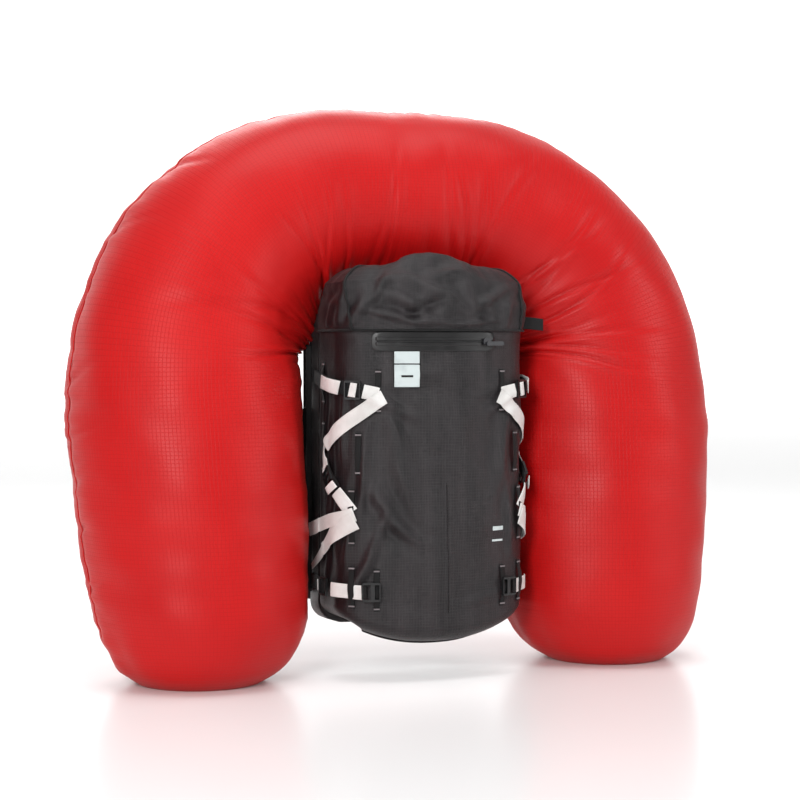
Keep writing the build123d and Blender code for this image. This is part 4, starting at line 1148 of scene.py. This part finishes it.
def swept_pad(name, node, body, path, across, width, thick, material, padded=None, edge=0.0, quilt=0.0):
    """A pad or webbing swept along a path; across is its width's direction, constant. edge rounds it, and quilt
    draws a pad in at its cross seams.
    """
    path = spline(path, 90)
    along = np.gradient(path, axis=0)
    along /= np.linalg.norm(along, axis=1, keepdims=True)
    across = np.asarray(across, float)
    out = np.cross(along, across)
    out /= np.linalg.norm(out, axis=1, keepdims=True)
    run = run_along(path)
    sides = 40
    a = np.linspace(0, 2 * math.pi, sides, endpoint=False)
    power = 2 / (2 + 4 * (1 - edge))
    cx = np.sign(np.cos(a)) * np.abs(np.cos(a)) ** power
    cz = np.sign(np.sin(a)) * np.abs(np.sin(a)) ** (0.9 if padded else power)
    wide = np.broadcast_to(np.asarray(width, float), run.shape)[:, None] / 2
    fall = np.clip(np.minimum(run, run[-1] - run) / 0.012, 0.0, 1.0)[:, None]
    fall = np.sqrt(1 - (1 - fall) ** 2) * 0.55 + 0.45 if padded else np.ones_like(fall)
    body_thick = thick / 2 * fall * (1 - quilt * (0.5 + 0.5 * np.cos(run / 0.055 * 2 * math.pi))[:, None] ** 12)
    ring = path[:, None] + across * (wide * cx)[..., None] + out[:, None] * (body_thick * cz)[..., None]
    piece = new_object(name, ring.reshape(-1, 3), capped_faces(len(path), sides))
    coords = np.zeros((len(path), sides, 3))
    coords[:, :, 0] = run[:, None]
    coords[:, :, 1] = cx * np.mean(wide)
    cloth_coords(piece, coords)
    weld(piece)
    return finish_piece(piece, body, material, [node])


HIP_WEB, TAB_WIDTH, PAD_THICK = 0.025, 0.058, 0.012


def black_web(name, node, body, path, across, width, thick=0.0016):
    swept_pad(name, node, body, path, across, width, thick, M_BLACK_WEB)


def make_harness():
    box_soft("foam_pad", "back_foam", "root", M_MESH, 0.0012, round_by=0.007)
    for side, tag in ((-1, "left"), (1, "right")):
        low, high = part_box(f"shoulder_strap_{tag}")
        x = (low.x + high.x) / 2
        front, z0, z1 = low.y, low.z, high.z
        back, over = high.y - PAD_THICK / 2, z1 - PAD_THICK / 2
        swept_pad(f"shoulder_pad_{tag}", f"shoulder_strap_{tag}", "root",
                  [(x, front + 0.001, over), (x, front + 0.030, over), (x, back - 0.010, over - 0.004),
                   (x, back - 0.001, z1 - 0.030), (x, back, z1 - 0.060), (x, back, (z0 + z1) / 2),
                   (x, back, z0 + 0.001)], (1, 0, 0), high.x - low.x, PAD_THICK, M_PAD,
                  padded=0.85, edge=0.2, quilt=0.12)
        low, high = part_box(f"strap_webbing_{tag}")
        black_web(f"strap_web_{tag}", f"strap_webbing_{tag}", "root",
                  [(x, high.y - 0.0008, high.z), (x, high.y - 0.0040, high.z - 0.026),
                   (x, high.y - 0.020, high.z - 0.0295), (x, (low.y + high.y) / 2, (low.z + high.z) / 2 - 0.004),
                   (x, low.y + 0.001, low.z + 0.003)], (1, 0, 0), WEB)
        low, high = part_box(f"hip_wing_{tag}")
        xm = low.x + 0.005 if side < 0 else high.x - 0.005
        xi = high.x if side < 0 else low.x
        zc = (low.z + high.z) / 2
        swept_pad(f"hip_pad_{tag}", f"hip_wing_{tag}", f"hip_{tag}",
                  [(xi + side * 0.0005, low.y + 0.005, zc), (xm - side * 0.006, low.y + 0.0062, zc),
                   (xm - side * 0.0006, low.y + 0.014, zc), (xm, low.y + 0.030, zc), (xm, (low.y + high.y) / 2, zc),
                   (xm, high.y - 0.0005, zc)], (0, 0, 1), high.z - low.z, 0.010, M_PAD,
                  padded=0.85, edge=0.2, quilt=0.10)
        low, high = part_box(f"hip_webbing_{tag}")
        xo = low.x if side < 0 else high.x
        xi = high.x if side < 0 else low.x
        black_web(f"hip_web_{tag}", f"hip_webbing_{tag}", f"hip_{tag}",
                  [(xo - side * 0.0008, low.y, zc), (xo - side * 0.0008, low.y + 0.008, zc),
                   (xo - side * 0.0040, high.y - 0.013, zc), (xo - side * 0.0130, high.y - 0.0040, zc),
                   (xo - side * 0.0260, high.y - 0.0008, zc), ((xo + xi) / 2, high.y - 0.0008, zc),
                   (xi, high.y - 0.0008, zc)], (0, 0, 1), HIP_WEB)
    low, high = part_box("chest_webbing")
    yc, zc = (low.y + high.y) / 2, (low.z + high.z) / 2
    buckle_left, buckle_right = -0.0243, 0.0183  # the chest buckle's ends, which the webbing stops at
    for number, (a, b) in enumerate(((low.x, buckle_left), (buckle_right, high.x))):
        black_web(f"chest_web_{number}", "chest_webbing", "chest_strap",
                  [(a, yc, zc), ((a + b) / 2, yc, zc), (b, yc, zc)], (0, 0, 1), WEB)
    low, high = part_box("haul_loop")
    y_foot, y_mid, y_top = low.y + 0.005, (low.y + high.y) / 2 + 0.001, high.y - 0.005
    z_mid = (low.z + high.z) / 2 + 0.004
    black_web("haul_web", "haul_loop", "root",
              [(low.x + 0.0015, y_foot, low.z + 0.001), (low.x + 0.006, y_mid, z_mid),
               (low.x + 0.020, y_top, high.z - 0.0028), (0, y_top, high.z - 0.0012),
               (high.x - 0.020, y_top, high.z - 0.0028), (high.x - 0.006, y_mid, z_mid),
               (high.x - 0.0015, y_foot, low.z + 0.001)], (0, 1, 0), 0.010, 0.0024)
    low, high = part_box("lid_tail")
    yc, zc = (low.y + high.y) / 2, (low.z + high.z) / 2
    black_web("lid_tail_web", "lid_tail", "lid",
              [(low.x, yc, zc), ((low.x + high.x) / 2, yc - 0.0006, zc - 0.001),
               (high.x, yc + 0.0004, zc - 0.003)],
              (0, 0, 1), 0.018, 0.0022)
    # tabs and open lips along the slits, and the fill duct
    low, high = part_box("airbag_tabs")
    l_low, l_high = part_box("bay_lips")
    for side, tag in ((-1, "left"), (1, "right")):
        x1, x0 = side * (HALF + 0.0160), side * (HALF - 0.016)
        yc = (low.y + high.y) / 2
        for number, z in enumerate((low.z + 0.030, high.z - 0.030)):
            black_web(f"airbag_tab_{tag}_{number}", "airbag_tabs", "root",
                      [(x0, yc, z), ((x0 + x1) / 2, yc, z), (x1, yc + 0.001, z)], (0, 0, 1), TAB_WIDTH)
        for number, y in enumerate((l_low.y + 0.0006, l_high.y - 0.0006)):
            bend = 0.0016 if number else -0.0016
            zs = np.linspace(l_low.z + 0.001, l_high.z + 0.036, 7)
            x = side * (HALF + 0.0046)
            wave = 0.0006 * np.sin(zs * 60 + number)
            swept_pad(f"bay_lip_{tag}_{number}", "bay_lips", "root",
                      [(x + w * 0.5, y + w + bend * 0.2, z) for w, z in zip(wave, zs)], (1, 0, 0), 0.0088, 0.0014,
                      M_TRIM)
    low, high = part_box("airbag_duct")
    xc, yc, r = (low.x + high.x) / 2, (low.y + high.y) / 2, (high.x - low.x) / 2
    rows, cols = 50, 64
    F, H = np.meshgrid(np.linspace(0, 2 * math.pi, cols, endpoint=False), np.linspace(low.z, high.z, rows))
    R = r - 0.0004 - 0.0008 * (0.5 + 0.5 * np.sin(H / 0.012 + 2 * np.sin(F)))
    pts = np.stack([xc + R * np.cos(F), yc + R * np.sin(F), H], 2).reshape(-1, 3)
    duct = new_object("duct_cloth", pts, grid_faces(rows, cols, wrap=True))
    cloth_coords(duct, np.stack([F * r, H, 0 * H], 2))
    thicken(duct, 0.0012)
    finish_piece(duct, "root", M_BAG, ["airbag_duct"])


make_harness()


# ---------------------------------------------------------------- stage, light, camera
def add_light(name, place, aim, size, watts, tone=(1, 1, 1)):
    data = bpy.data.lights.new(name, "AREA")
    data.shape = "RECTANGLE"
    data.size, data.size_y = size
    data.energy = watts
    data.color = tone
    lamp = bpy.data.objects.new(name, data)
    bpy.context.scene.collection.objects.link(lamp)
    lamp.location = place
    lamp.rotation_euler = (Vector(aim) - Vector(place)).to_track_quat("-Z", "Y").to_euler()
    return lamp


def make_stage():
    wide, far = 14, 9  # half the floor's width, and how far behind the pack the backdrop stands
    floor = new_object("floor", [(-wide, -wide, 0), (wide, -wide, 0), (wide, far, 0), (-wide, far, 0)],
                       [(0, 1, 2, 3)], smooth=False)
    m = Shader("floor_white", Roughness=0.24, Specular_IOR_Level=0.22)
    m.base.inputs["Base Color"].default_value = (0.93, 0.93, 0.93, 1)
    floor.data.materials.append(m.material)
    wall = new_object("backdrop", [(-wide, far, -0.1), (wide, far, -0.1), (wide, far, 12), (-wide, far, 12)],
                      [(0, 1, 2, 3)], smooth=False)
    m = Shader("backdrop_white", Roughness=0.9)
    m.base.inputs["Base Color"].default_value = (0.9, 0.9, 0.9, 1)
    m.base.inputs["Emission Color"].default_value = (1.0, 1.0, 1.0, 1)
    m.base.inputs["Emission Strength"].default_value = 0.9
    wall.data.materials.append(m.material)
    world = bpy.data.worlds.new("studio")
    bpy.context.scene.world = world
    world.use_nodes = True
    back = world.node_tree.nodes["Background"]
    back.inputs[0].default_value = (1.0, 1.0, 1.0, 1)
    back.inputs[1].default_value = 0.34
    add_light("key", (-2.1, -2.9, 1.5), (0, 0, 0.42), (0.8, 1.8), 84)
    add_light("fill", (2.8, -2.2, 1.5), (0, 0, 0.4), (0.7, 1.9), 40)
    add_light("top", (0.0, -0.4, 3.0), (0, 0, 0.4), (2.0, 1.4), 40)
    add_light("rim", (0.4, 2.6, 2.4), (0, 0, 0.5), (2.0, 1.0), 40)


make_stage()

bpy.context.scene.view_settings.view_transform = "Standard"

camera_data = bpy.data.cameras.new("camera")
camera_data.lens = 89.3
camera_data.sensor_width = 36.0
camera = bpy.data.objects.new("camera", camera_data)
bpy.context.scene.collection.objects.link(camera)
bpy.context.scene.camera = camera
TARGET = Vector((0.0, 0.0, 0.400))
TURN, RISE, AWAY = math.radians(-21.0), math.radians(1.5), 3.0
camera.location = TARGET + AWAY * Vector((math.sin(TURN) * math.cos(RISE), -math.cos(TURN) * math.cos(RISE),
                                          math.sin(RISE)))
camera.rotation_euler = (TARGET - camera.location).to_track_quat("-Z", "Y").to_euler()
